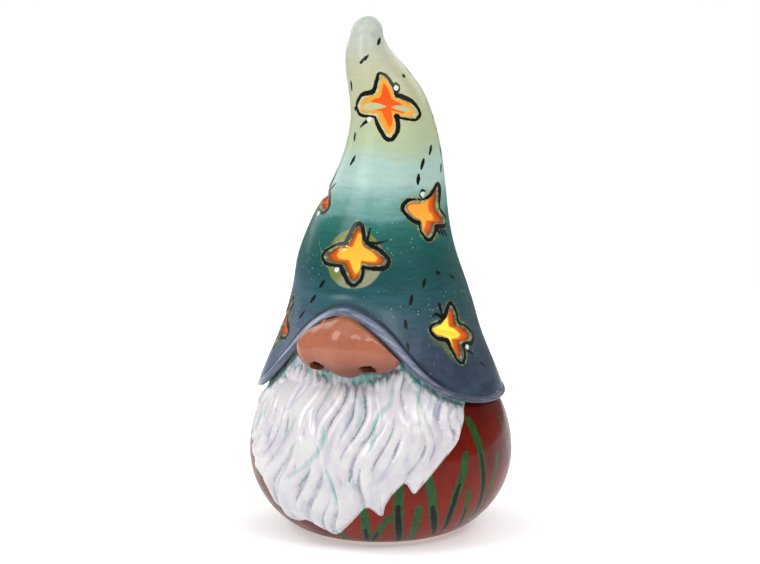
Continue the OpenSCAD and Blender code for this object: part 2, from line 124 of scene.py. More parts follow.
@dataclass
class HatForm:
    """The draped hat: a swaying cone whose brim rises over the nose, in millimetres."""

    pot: PotForm
    height: float = 230.0
    brim: float = 62.0
    notch_rise: float = 42.5
    notch_angle: float = 40.0
    notch_bearing: float = -1.5
    visor: float = 8.0
    visor_angle: float = 35.0
    lip_low: float = 3.0
    lip_extra: float = 4.2
    lip_angle: float = 28.0
    lip_spread: float = 14.0
    sway_bearing: float = 20.0
    wall: float = 4.5
    edge_wall: float = 3.2
    gap: float = 0.8
    tip_start: float = 0.952
    tip_share: float = 0.127
    share_heights: tuple[float, ...] = (
        0, 0.077, 0.167, 0.268, 0.375, 0.464, 0.554, 0.643, 0.732, 0.804, 0.863, 0.911,
        0.952, 1,
    )
    shares: tuple[float, ...] = (
        1, 0.915, 0.807, 0.711, 0.629, 0.546, 0.458, 0.389, 0.326, 0.291, 0.242, 0.177,
        0.127, 0.094,
    )
    sways: tuple[float, ...] = (
        0, 0, 0, 0, -0.025, -0.005, 0.049, 0.092, 0.094, 0.047, -0.029, -0.094, -0.110,
        -0.094,
    )

    def __post_init__(self) -> None:
        """Work out the brim's radius from the pot that it drapes over."""
        self.brim_radius = float(self.pot.outside(np.array(self.brim))) + self.gap + self.edge_wall
        self.visor_top = self.brim + self.notch_rise + 8

    def _smooth(self, h: Array, values: tuple[float, ...]) -> Array:
        """Run a smooth curve through the station values.

        Args:
            h: Shares of the hat's height.
            values: One value for each station.

        Returns:
            The curve's value at each share.
        """
        x, y = np.array(self.share_heights), np.array(values)
        low, high = np.maximum(np.arange(len(x)) - 1, 0), np.minimum(np.arange(len(x)) + 1, len(x) - 1)
        slope = (y[high] - y[low]) / (x[high] - x[low])
        i = np.clip(np.searchsorted(x, h) - 1, 0, len(x) - 2)
        d = x[i + 1] - x[i]
        t = (h - x[i]) / d
        return (
            y[i] * (2 * t**3 - 3 * t**2 + 1)
            + slope[i] * d * (t**3 - 2 * t**2 + t)
            + y[i + 1] * (3 * t**2 - 2 * t**3)
            + slope[i + 1] * d * (t**3 - t**2)
        )

    def radius(self, z: Array) -> Array:
        """Radius of the plain cone, with no visor, at each height."""
        h = (z - self.brim) / (self.height - self.brim)
        cap = np.sqrt(np.clip(1 - ((h - self.tip_start) / (1 - self.tip_start)) ** 2, 0, 1))
        share = np.where(h < self.tip_start, self._smooth(h, self.shares), self.tip_share * cap)
        return self.brim_radius * share

    def sway(self, z: Array) -> tuple[Array, Array]:
        """How far the axis has swayed in X and in Y at each height."""
        h = (z - self.brim) / (self.height - self.brim)
        s = self.brim_radius * self._smooth(h, self.sways)
        a = math.radians(self.sway_bearing)
        return s * math.cos(a), s * math.sin(a)

    def edge(self, a: Array) -> Array:
        """Height of the brim's edge at each bearing in degrees."""
        off = a - self.notch_bearing
        return self.brim + self.notch_rise * np.exp(-((off / self.notch_angle) ** 2))

    def crest(self, a: Array) -> Array:
        """Height of the crease above the rolled lip at each bearing."""
        off = np.abs(a - self.notch_bearing)
        rise = np.exp(-(((off - self.lip_angle) / self.lip_spread) ** 2))
        return self.edge(a) + self.lip_low + self.lip_extra * rise

    def outside(self, a: Array, z: Array) -> Array:
        """Radius of the outside, visor included, at each bearing and height."""
        u = np.clip((z - self.edge(a)) / (self.visor_top - self.edge(a)), 0, 1)
        off = (a - self.notch_bearing) / self.visor_angle
        return self.radius(z) + self.visor * np.exp(-(off**2)) * (1 - u) ** 2

    def inside(self, a: Array, z: Array) -> Array:
        """Radius of the inside at each bearing and height."""
        u = np.clip((z - self.edge(a)) / 12, 0, 1)
        return self.outside(a, z) - (self.edge_wall + (self.wall - self.edge_wall) * u)

    def point(self, a: Array, r: Array, z: Array) -> Array:
        """Place bearings, radii and heights in space.

        Args:
            a: Bearings in degrees, 0 at the front and growing towards +X.
            r: Radii from the swaying axis.
            z: Heights.

        Returns:
            Points in millimetres, with the last axis of size 3.
        """
        sx, sy = self.sway(z)
        rad = np.radians(a)
        return np.stack([r * np.sin(rad) + sx, -r * np.cos(rad) + sy, z + 0 * rad], axis=-1)


# --------------------------------------------------------------------------- brushwork


@dataclass
class Stroke:
    """One touch of the brush: a path in space and its half width along it."""

    path: Array
    half: Array

    def distance(self, points: Array, reach: float = 4.0) -> Array:
        """Signed distance from points to the stroke's edge, negative inside.

        Args:
            points: Points to measure from, in millimetres.
            reach: Points further away than this are given the reach itself.

        Returns:
            One distance for each point.
        """
        out = np.full(len(points), reach)
        low = self.path.min(0) - reach - self.half.max()
        high = self.path.max(0) + reach + self.half.max()
        near = np.nonzero(np.all((points > low) & (points < high), axis=1))[0]
        p = points[near]
        best = np.full(len(near), reach)
        for i in range(len(self.path) - 1):
            a, b = self.path[i], self.path[i + 1]
            ab = b - a
            t = np.clip(((p - a) @ ab) / max(float(ab @ ab), 1e-9), 0, 1)
            gap = np.linalg.norm(p - a - t[:, None] * ab, axis=1)
            best = np.minimum(best, gap - (self.half[i] + (self.half[i + 1] - self.half[i]) * t))
        out[near] = np.minimum(best, reach)
        return out


def laid_on(points: Array, strokes: list[Stroke], reach: float = 4.0) -> Array:
    """Signed distance to the nearest of several strokes.

    Args:
        points: Points to measure from.
        strokes: The strokes.
        reach: Distance beyond which nothing is measured.

    Returns:
        One distance for each point, negative inside a stroke.
    """
    best = np.full(len(points), reach)
    for stroke in strokes:
        best = np.minimum(best, stroke.distance(points, reach))
    return best


# --------------------------------------------------------------------------- workshop


class Shop:
    """Mesh operators used as by hand, with every piece left at the origin."""

    @staticmethod
    def clear_selection() -> None:
        """Deselect everything, so that an operator acts on one piece alone."""
        bpy.ops.object.select_all(action="DESELECT")

    @staticmethod
    def take(*objs: Object) -> None:
        """Select these objects alone, with the first one active."""
        Shop.clear_selection()
        for o in objs:
            o.select_set(True)
        bpy.context.view_layer.objects.active = objs[0]

    @staticmethod
    def tidy(obj: Object, merge: float = 1e-6) -> None:
        """Merge doubled points and turn the faces outwards.

        Args:
            obj: Mesh object to tidy.
            merge: Distance within which points are merged, in metres.
        """
        Shop.take(obj)
        bpy.ops.object.mode_set(mode="EDIT")
        bpy.ops.mesh.select_all(action="SELECT")
        bpy.ops.mesh.remove_doubles(threshold=merge)
        bpy.ops.mesh.dissolve_degenerate(threshold=merge)
        bpy.ops.mesh.normals_make_consistent(inside=False)
        bpy.ops.object.mode_set(mode="OBJECT")

    @staticmethod
    def wrap(name: str, points: Array, tidy: bool = True) -> Object:
        """Add a grid and wrap it over a sheet of points.

        Args:
            name: Name of the piece.
            points: Millimetre points in rows and columns.
            tidy: Whether seams and poles are merged and the faces turned outwards.

        Returns:
            The new mesh object.
        """
        rows, cols = points.shape[:2]
        Shop.clear_selection()
        bpy.ops.mesh.primitive_grid_add(x_subdivisions=cols - 1, y_subdivisions=rows - 1, size=1)
        obj = bpy.context.object
        obj.name = obj.data.name = name
        co = Shop.corners(obj)
        col = np.rint((co[:, 0] + 0.5) * (cols - 1)).astype(int)
        row = np.rint((co[:, 1] + 0.5) * (rows - 1)).astype(int)
        Shop.move(obj, points[row, col] * MM)
        if tidy:
            Shop.tidy(obj)
        return obj

    @staticmethod
    def corners(obj: Object) -> Array:
        """Positions of a mesh's points, in metres."""
        co = np.empty(len(obj.data.vertices) * 3)
        obj.data.vertices.foreach_get("co", co)
        return co.reshape(-1, 3)

    @staticmethod
    def move(obj: Object, co: Array) -> None:
        """Put a mesh's points at these positions, in metres."""
        obj.data.vertices.foreach_set("co", co.astype(np.float32).ravel())
        obj.data.update()

    @staticmethod
    def mark(obj: Object, name: str, values: Array) -> None:
        """Store one number for each point, for the glaze to read."""
        layer = obj.data.attributes.new(name, "FLOAT", "POINT")
        layer.data.foreach_set("value", values.astype(np.float32))

    @staticmethod
    def apply(obj: Object) -> None:
        """Apply every modifier on a piece."""
        Shop.take(obj)
        for modifier in list(obj.modifiers):
            bpy.ops.object.modifier_apply(modifier=modifier.name)

    @staticmethod
    def cut(obj: Object, cutter: Object) -> None:
        """Cut one solid out of another, and throw the cutter away."""
        modifier = obj.modifiers.new("cut", "BOOLEAN")
        modifier.operation = "DIFFERENCE"
        modifier.solver = "MANIFOLD"
        modifier.object = cutter
        Shop.apply(obj)
        bpy.data.objects.remove(cutter)

    @staticmethod
    def join(first: Object, *others: Object) -> Object:
        """Join pieces into the first one."""
        Shop.take(first, *others)
        bpy.ops.object.join()
        return first

    @staticmethod
    def smooth(obj: Object, angle: float = 40.0) -> None:
        """Shade a piece smooth, with edges sharper than an angle left crisp."""
        Shop.take(obj)
        bpy.ops.object.shade_smooth_by_angle(angle=math.radians(angle))


class Bench:
    """A shader tree under construction, with short words for its usual nodes."""

    def __init__(self, name: str) -> None:
        """Start a new material that holds one Principled shader."""
        self.material = bpy.data.materials.new(name)
        self.material.use_nodes = True
        self.tree = self.material.node_tree
        self.shader = self.tree.nodes["Principled BSDF"]
        self.place = self.add("ShaderNodeTexCoord").outputs["Object"]

    def add(self, kind: str, **settings: object) -> bpy.types.Node:
        """Add a node and set its plain properties."""
        node = self.tree.nodes.new(kind)
        for key, value in settings.items():
            setattr(node, key, value)
        return node

    def feed(self, socket: Socket, value: object) -> None:
        """Link a socket, or set its value when it is given a plain one."""
        if isinstance(value, bpy.types.NodeSocket):
            self.tree.links.new(value, socket)
        elif isinstance(value, tuple) and len(value) == 3 and socket.type == "RGBA":
            socket.default_value = (*value, 1.0)
        else:
            socket.default_value = value

    def set(self, **inputs: object) -> None:
        """Feed the shader's own sockets, with underscores for spaces."""
        for key, value in inputs.items():
            self.feed(self.shader.inputs[key.replace("_", " ")], value)

    def math(self, how: str, a: object, b: object = 0.0, clamp: bool = False) -> Socket:
        """Do a sum on one or two numbers."""
        node = self.add("ShaderNodeMath", operation=how, use_clamp=clamp)
        self.feed(node.inputs[0], a)
        self.feed(node.inputs[1], b)
        return node.outputs[0]

    def times(self, a: object, b: object) -> Socket:
        """Multiply two numbers."""
        return self.math("MULTIPLY", a, b)

    def plus(self, a: object, b: object) -> Socket:
        """Add two numbers."""
        return self.math("ADD", a, b)

    def minus(self, a: object, b: object) -> Socket:
        """Take the second number from the first."""
        return self.math("SUBTRACT", a, b)

    def swing(self, noise: object, reach: float) -> Socket:
        """Turn noise about a half into a wander either side of nothing."""
        return self.times(self.minus(noise, 0.5), reach)

    def read(self, name: str) -> Socket:
        """Read one of the piece's own marks."""
        return self.add("ShaderNodeAttribute", attribute_name=name).outputs["Fac"]

    def fade(self, value: object, low: float, high: float, to_low: float = 0.0,
             to_high: float = 1.0) -> Socket:
        """Turn a value's rise from low to high into a smooth step between two levels."""
        node = self.add("ShaderNodeMapRange", interpolation_type="SMOOTHSTEP")
        for key, v in zip(("Value", "From Min", "From Max", "To Min", "To Max"),
                          (value, low, high, to_low, to_high)):
            self.feed(node.inputs[key], v)
        return node.outputs[0]

    def mix(self, share: object, a: object, b: object, how: str = "MIX") -> Socket:
        """Blend two colours."""
        node = self.add("ShaderNodeMix", data_type="RGBA", blend_type=how)
        self.feed(node.inputs[0], share)
        self.feed(node.inputs[6], a)
        self.feed(node.inputs[7], b)
        return node.outputs[2]

    def ramp(self, value: object, stops: list[tuple[float, Colour]]) -> Socket:
        """Read a colour off a run of stops."""
        node = self.add("ShaderNodeValToRGB")
        band = node.color_ramp.elements
        while len(band) < len(stops):
            band.new(0.5)
        for element, (where, colour) in zip(band, stops):
            element.position = where
            element.color = (*colour, 1.0)
        self.feed(node.inputs[0], value)
        return node.outputs[0]

    def stretch(self, scale: tuple[float, float, float], turn: float = 0.0) -> Socket:
        """Object coordinates stretched along the axes."""
        node = self.add("ShaderNodeMapping")
        self.feed(node.inputs["Vector"], self.place)
        node.inputs["Scale"].default_value = scale
        node.inputs["Rotation"].default_value = (0, 0, turn)
        return node.outputs[0]

    def noise(self, scale: float, detail: float = 3.0, where: Socket | None = None,
              rough: float = 0.55) -> Socket:
        """Cloudy noise from 0 to 1."""
        node = self.add("ShaderNodeTexNoise")
        self.feed(node.inputs["Vector"], where or self.place)
        self.feed(node.inputs["Scale"], scale)
        self.feed(node.inputs["Detail"], detail)
        self.feed(node.inputs["Roughness"], rough)
        return node.outputs["Fac"]

    def specks(self, scale: float, size: float) -> Socket:
        """Small round specks, 1 inside and 0 outside."""
        node = self.add("ShaderNodeTexVoronoi", feature="F1")
        self.feed(node.inputs["Vector"], self.place)
        self.feed(node.inputs["Scale"], scale)
        return self.fade(node.outputs["Distance"], size, size * 0.6)

    def height(self) -> Socket:
        """Height above the table in millimetres."""
        node = self.add("ShaderNodeSeparateXYZ")
        self.feed(node.inputs[0], self.place)
        return self.math("MULTIPLY", node.outputs["Z"], 1000.0)

    def bump(self, value: Socket, strength: float, distance: float,
             below: Socket | None = None) -> Socket:
        """Turn a height into a normal, over another normal if one is given."""
        node = self.add("ShaderNodeBump")
        self.feed(node.inputs["Height"], value)
        self.feed(node.inputs["Strength"], strength)
        self.feed(node.inputs["Distance"], distance)
        if below is not None:
            self.feed(node.inputs["Normal"], below)
        return node.outputs[0]


# --------------------------------------------------------------------------- star windows


class StarCut(Enum):
    """The hand-cut star outlines, in millimetres across and up from the middle."""

    TALL = (
        (3.2, 14.5), (-4.4, 6.6), (-12.0, 4.2), (-15.8, -0.6), (-14.4, -3.6), (-6.0, -4.5),
        (-4.3, -9.1), (0.4, -15.0), (3.2, -11.5), (4.2, -4.2), (6.6, -4.6), (13.0, -5.6),
        (15.2, -3.4), (13.8, 0.9), (9.9, 3.7), (7.0, 4.8), (6.2, 10.5), (5.2, 13.8),
    )
    WIDE = (
        (-1.6, 14.8), (-4.9, 6.0), (-10.6, 4.2), (-16.2, -0.6), (-14.0, -3.4), (-6.4, -4.4),
        (-4.0, -8.2), (-0.2, -13.6), (3.4, -10.8), (4.9, -4.2), (9.0, -4.6), (14.4, -4.2),
        (15.6, -1.8), (12.2, 2.5), (6.2, 5.7), (3.4, 8.6), (0.8, 14.0),
    )
    LEANING = (
        (7.6, 13.4), (1.6, 9.4), (-5.0, 7.6), (-13.0, 7.2), (-15.4, 4.6), (-11.0, -0.9),
        (-6.4, -3.6), (-5.6, -8.2), (-1.8, -12.6), (1.9, -10.2), (4.4, -6.4), (12.8, -6.4),
        (13.4, -4.0), (8.8, 0.4), (7.6, 5.4), (8.9, 12.2),
    )
    FLAME = (
        (3.6, 14.4), (-1.6, 9.6), (-6.0, 7.0), (-12.8, 4.4), (-11.0, 0.8), (-4.3, -1.7),
        (-2.4, -7.6), (0.6, -13.8), (3.6, -11.2), (5.3, -5.4), (13.2, -5.0), (15.8, -2.8),
        (11.8, 1.7), (5.9, 4.8), (6.3, 10.3),
    )


@dataclass(frozen=True)
class Star:
    """One star window: its place on the hat, its cut, and the marks brushed round it."""

    bearing: float
    height: float
    cut: StarCut
    turn: float = 0.0
    size: float = 1.0
    dots: tuple[tuple[float, float], ...] = ()
    marks: tuple[tuple[tuple[float, float], ...], ...] = ()

    def outline(self, share: float = 1.0, margin: float = 0.0) -> Array:
        """Draw the opening's outline, its waists drawn in and its points just blunted.

        Args:
            share: Share of the full size.
            margin: How far outside the opening the line runs.

        Returns:
            The outline's points, in millimetres.
        """
        pinch, soft = 0.34, 0.15
        ring = np.array(self.cut.value) * 0.935
        away = np.linalg.norm(ring, axis=1, keepdims=True)
        ring = ring * (away / away.max()) ** pinch
        for _ in range(3):
            after = np.roll(ring, -1, axis=0)
            ring = np.stack([(1 - soft) * ring + soft * after, soft * ring + (1 - soft) * after], 1)
            ring = ring.reshape(-1, 2)
        along = np.roll(ring, -1, axis=0) - np.roll(ring, 1, axis=0)
        out = np.stack([along[:, 1], -along[:, 0]], 1) / np.linalg.norm(along, axis=1, keepdims=True)
        t = math.radians(self.turn)
        spin = np.array([[math.cos(t), -math.sin(t)], [math.sin(t), math.cos(t)]])
        return (ring * share + out * margin) @ spin.T * self.size

    def on_hat(self, form: HatForm, flat: Array, proud: float = 0.0) -> Array:
        """Lay flat points onto the hat round the star's middle.

        Args:
            form: The hat's form.
            flat: Points across and up from the star's middle.
            proud: How far outside the hat's surface the points stand.

        Returns:
            Points in space.
        """
        flat = np.asarray(flat, float)
        z0 = np.array(self.height)
        slope = (form.radius(z0 + 2) - form.radius(z0 - 2)) / 4
        z = self.height + flat[:, 1] / math.sqrt(1 + float(slope) ** 2)
        a = self.bearing + np.degrees(flat[:, 0] / form.radius(z0))
        return form.point(a, form.outside(a, z) + proud, z)


STARS: tuple[Star, ...] = (
    Star(12.8, 192.0, StarCut.TALL, 0, 1.0, ((7.6, 7.9), (-8.4, -6.0)),
         (((6.3, 5.8), (8.3, 7.0), (9.7, 9.0), (8.6, 10.0), (6.8, 9.0)),
          ((-9.6, -6.9), (-11.0, -8.0), (-12.6, -9.6)))),
    Star(1.9, 128.4, StarCut.WIDE, 0, 1.0, ((-7.2, -6.4),),
         (((5.2, 6.2), (5.4, 9.0), (5.6, 12.4)), ((5.2, 6.2), (10.0, 6.0), (14.6, 7.2)))),
    Star(65.6, 145.0, StarCut.LEANING, 0, 0.97, ((-4.4, 9.4),),
         (((4.6, -7.8), (5.6, -9.6)), ((6.8, -8.6), (8.4, -11.0)), ((9.2, -8.8), (11.6, -11.8)),
          ((-5.4, 9.0), (-4.6, 11.2), (-2.8, 10.8)))),
    Star(65.0, 93.6, StarCut.FLAME, 0, 1.0, ((7.2, -6.8),),
         (((-4.4, 14.0), (-4.0, 9.4)), ((-5.0, 8.6), (-7.6, 10.2), (-9.8, 9.2)),
          ((7.0, -8.4), (8.2, -9.4), (9.6, -10.4)))),
    Star(-67.5, 150.0, StarCut.WIDE, -6, 0.9, ((7.4, -6.6),), (((7.6, 5.0), (10.4, 7.6)),)),
    Star(-62.0, 93.4, StarCut.LEANING, 12, 0.94, ((-6.0, 8.6),), (((6.0, 8.2), (8.0, 11.0)),)),
    Star(127.0, 110.8, StarCut.TALL, 15, 0.92, ((7.6, 7.9),), (((-8.0, -7.0), (-11.0, -9.0)),)),
    Star(-122.0, 109.4, StarCut.FLAME, -12, 0.95, ((7.4, -6.8),), (((-5.0, 8.6), (-8.0, 9.8)),)),
    Star(172.0, 150.5, StarCut.LEANING, 8, 0.86, ((-5.4, 9.0),), (((6.0, -8.6), (8.4, -11.0)),)),
    Star(180.0, 93.2, StarCut.WIDE, -10, 0.92, ((7.4, 7.0),), (((-7.0, 7.0), (-9.6, 9.6)),)),
    Star(-100.0, 176.0, StarCut.TALL, 14, 0.56, (), (((-9.0, -7.0), (-11.0, -9.0)),)),
    Star(121.0, 177.0, StarCut.FLAME, -8, 0.54, (), (((-5.0, 8.6), (-8.0, 9.8)),)),
)


def bearing_columns(front: tuple[float, float], dense: int, sparse: int) -> Array:
    """Bearings round a turned form, closer together where the painting is finest.

    Args:
        front: First and last bearing of the fine part.
        dense: Columns in the fine part.
        sparse: Columns in the rest.

    Returns:
        Bearings in degrees, from the fine part's start to the same place a turn later.
    """
    near = np.linspace(front[0], front[1], dense, endpoint=False)
    return np.concatenate([near, np.linspace(front[1], front[0] + 360, sparse + 1)])


def turned(a: Array) -> Array:
    """Bring bearings into the range from -180 to 180 degrees."""
    return (a + 180) % 360 - 180


# --------------------------------------------------------------------------- hat


@dataclass(frozen=True)
class HatGlaze:
    """Glaze run from pale green at the tip through mint and teal to slate at the brim, with the tea light's
    glow painted inside as emission.
    """

    run: tuple[tuple[float, Colour], ...] = (
        (60, paint(42, 50, 70)), (69, paint(44, 54, 76)), (81, paint(50, 62, 82)),
        (92, paint(52, 72, 88)), (100, paint(54, 84, 98)), (105, paint(54, 92, 104)),
        (111, paint(46, 96, 102)), (118, paint(30, 84, 86)), (125, paint(26, 86, 86)),
        (132, paint(30, 96, 92)), (140, paint(42, 110, 102)), (143.5, paint(58, 126, 118)),
        (146, paint(104, 158, 152)), (151, paint(118, 168, 162)), (155, paint(150, 192, 184)),
        (160, paint(182, 213, 205)), (169, paint(184, 214, 203)), (176, paint(190, 206, 168)),
        (194, paint(202, 206, 166)), (210, paint(206, 206, 176)), (217, paint(200, 208, 192)),
        (230, paint(204, 212, 200)),
    )
    # Painted light and shade over the glaze's own hue: the hat's low left side is made lighter and bluer, its
    # right side darker teal.
    left: Colour = paint(96, 114, 140)
    right: Colour = paint(30, 66, 62)
    lip: Colour = paint(122, 128, 150)
    # Painted highlight colour along the rolled lip.
    lip_highlight: Colour = paint(176, 182, 206)
    ink: Colour = paint(12, 12, 16)
    dot: Colour = paint(238, 240, 238)
    halo_low: Colour = paint(134, 142, 66)
    halo_deep: Colour = paint(92, 112, 56)
    beige: Colour = paint(170, 168, 138)
    halo_high: Colour = paint(208, 210, 150)
    # The olive margin round the windows is the glaze's own; the paler line colours are painted highlights on
    # the cut edge.
    rim_low: Colour = paint(84, 104, 78)
    rim_low_highlight: Colour = paint(168, 180, 136)
    # Painted shade: dark slate in the crease above the rolled lip and along the lip's lower edge.
    crease: Colour = paint(38, 44, 62)
    rim_high: Colour = paint(196, 194, 134)
    rim_highlight: Colour = paint(226, 226, 176)
    # Painted light: the inside of the hat and the windows' cut walls are coloured and lit by emission as if
    # by the tea light, yellow low and orange high; the painted glow stays when the hat is lifted off.
    glow_run: tuple[tuple[float, Colour], ...] = (
        (80, paint(252, 214, 78)), (104, paint(250, 206, 68)), (120, paint(248, 184, 64)),
        (136, paint(248, 170, 66)), (150, paint(244, 156, 66)), (172, paint(238, 120, 46)),
        (190, paint(236, 98, 38)), (230, paint(200, 80, 30)),
    )
    wall_glow_run: tuple[tuple[float, Colour], ...] = (
        (0.0, paint(150, 110, 52)), (0.22, paint(122, 50, 18)), (0.5, paint(196, 84, 26)),
        (1.0, paint(222, 118, 36)),
    )
    high_wall_glow: Colour = paint(250, 178, 62)
    low: float = 60.0
    high: float = 230.0
    cloud: Colour = paint(92, 104, 130)
    streak_pale: Colour = paint(200, 220, 214)
    streak_deep: Colour = paint(90, 110, 112)
    splash: Colour = paint(196, 218, 214)
    sweep_scale: float = 110.0
    slant: float = 900.0
    wall_depth: float = 4.6

    def stops(self, run: tuple[tuple[float, Colour], ...]) -> list[tuple[float, Colour]]:
        """Turn heights into shares of the hat's height."""
        return [((z - self.low) / (self.high - self.low), colour) for z, colour in run]

    def mix(self) -> Material:
        """Mix the glaze.

        Returns:
            The hat's material.
        """
        b = Bench("hat_glaze")
        z = b.height()
        across = b.add("ShaderNodeSeparateXYZ")
        b.feed(across.inputs[0], b.place)
        wave = b.swing(b.noise(34, 4), 17.0)
        share = b.math("DIVIDE", b.minus(b.plus(z, wave), self.low),
                       self.high - self.low)
        colour = b.ramp(share, self.stops(self.run))
        # Painted light and shade: lighter and bluer on the left side low down, darker teal on the right, over
        # the glaze's own hue.
        low_zone = b.fade(z, 128, 108)
        side = b.plus(across.outputs["X"], b.times(b.noise(30, 2), 0.03))
        colour = b.mix(b.times(b.fade(side, 0.006, -0.035), b.times(low_zone, 0.75)),
                       colour, self.left)
        colour = b.mix(b.times(b.fade(side, 0.03, 0.07),
                               b.times(b.fade(z, 142, 118), b.fade(z, 84, 104, 0.15, 0.75))),
                       colour, self.right)
        cloud = b.fade(b.noise(75, 4), 0.35, 0.7)
        colour = b.mix(b.times(cloud, b.times(b.fade(z, 112, 96), 0.35)), colour, self.cloud)
        sweep = b.add("ShaderNodeCombineXYZ")
        b.feed(sweep.inputs["X"], b.times(across.outputs["X"], self.sweep_scale))
        b.feed(sweep.inputs["Y"], b.times(across.outputs["Y"], self.sweep_scale))
        b.feed(sweep.inputs["Z"], b.read("sweep"))
        streak = b.noise(1.0, 6, sweep.outputs[0], 0.72)
        below = b.fade(z, 165, 148, 0.3, 1.0)
        colour = b.mix(b.times(b.fade(streak, 0.35, 0.75, 0.0, 0.5), below), colour, self.streak_pale,
                       "SOFT_LIGHT")
        streak_dark = b.noise(1.0, 5, b.stretch((90, 90, 420), 0.6), 0.7)
        colour = b.mix(b.times(b.fade(streak_dark, 0.42, 0.75, 0.0, 0.35), below), colour, self.streak_deep,
                       "MULTIPLY")
        splash = b.times(b.specks(520, 0.16),
                         b.times(b.fade(b.noise(60, 2), 0.45, 0.62), b.fade(z, 158, 146)))
        colour = b.mix(b.times(splash, 0.8), colour, self.splash)
        halo = b.read("halo")
        halo_noise = b.plus(halo, b.swing(b.noise(110, 4), 5.0))
        halo_colour = b.mix(b.fade(z, 135, 170),
                            b.mix(b.fade(b.noise(70, 3), 0.4, 0.62), self.halo_low,
                                  self.halo_deep), self.halo_high)
        colour = b.mix(b.fade(halo_noise, 3.0, -1.5, 0.0, 0.62), colour, halo_colour)
        disc = b.plus(b.read("disc"), b.swing(b.noise(120, 2), 1.6))
        pale = b.mix(b.fade(b.minus(z, b.times(across.outputs["X"], self.slant)), 126, 121), self.halo_low,
                     self.beige)
        colour = b.mix(b.fade(disc, 0.5, -0.4, 0.0, 0.85), colour, pale)
        colour = b.mix(b.times(b.read("lip"),
                               b.fade(b.noise(1.0, 4, b.stretch((120, 120, 500)), 0.6), 0.2, 0.75, 0.35,
                                      1.0)), colour, self.lip)
        # Painted highlight: a pale band along the middle of the rolled lip, in streaks.
        colour = b.mix(b.times(b.read("lip_highlight_band"), b.fade(streak, 0.4, 0.6)), colour, self.lip_highlight)
        # Painted shade in the crease above the lip and under its edge, broken up by noise.
        colour = b.mix(b.times(b.read("crease"), b.fade(b.noise(60, 3), 0.25, 0.6, 0.35, 0.9)), colour,
                       self.crease)
        wobble = b.swing(b.noise(900, 2), 0.55)
        window = b.plus(b.read("window"), wobble)
        rim = b.mix(b.fade(z, 130, 180), self.rim_low, self.rim_high)
        # The margin keeps the glaze's olive; the paler line mixed in patches is a painted highlight along the
        # window's edge.
        line = b.mix(b.fade(z, 130, 180), self.rim_low_highlight, self.rim_highlight)
        rim = b.mix(b.fade(b.noise(420, 3), 0.45, 0.62), rim, line)
        colour = b.mix(b.fade(window, 1.5, 1.1, 0.0, 0.85), colour, rim)
        ink = b.plus(b.read("ink"), wobble)
        colour = b.mix(b.fade(ink, 0.16, -0.08), colour, self.ink)
        dash = b.plus(b.read("dash"), wobble)
        colour = b.mix(b.fade(dash, 0.22, 0.02), colour, self.ink)
        colour = b.mix(b.fade(b.read("dot"), 0.15, -0.15), colour, self.dot)
        # Painted light from the tea light: cut walls brown near the face and orange deeper in, the inner face
        # glowing by height, and a darker copy of that glow as the inside's base colour.
        depth = b.plus(b.read("depth"), b.swing(b.noise(260, 3), 0.8))
        inside = b.fade(depth, 0.5, 1.3)
        wall = b.ramp(b.math("DIVIDE", depth, self.wall_depth), list(self.wall_glow_run))
        glow = b.ramp(b.math("DIVIDE", b.minus(z, self.low), self.high - self.low),
                      self.stops(self.glow_run))
        wall = b.mix(b.fade(z, 165, 185, 0.0, 0.8), wall, self.high_wall_glow)
        light = b.mix(b.fade(depth, 3.6, 4.4), wall, glow)
        colour = b.mix(inside, colour, b.mix(0.75, light, (0.0, 0.0, 0.0)))
        b.set(Base_Color=colour, Emission_Color=light, Coat_Weight=0.22, Coat_Roughness=0.16,
              Specular_IOR_Level=0.2)
        b.set(Emission_Strength=b.times(inside, b.fade(z, 68, 77, 0.0, 0.92)))
        b.set(Roughness=b.fade(b.noise(300, 3), 0.3, 0.7, 0.3, 0.44))
        ripple = b.bump(b.noise(120, 4), 0.12, 0.0012)
        b.set(Normal=b.bump(streak, 0.1, 0.0005, ripple))
        return b.material


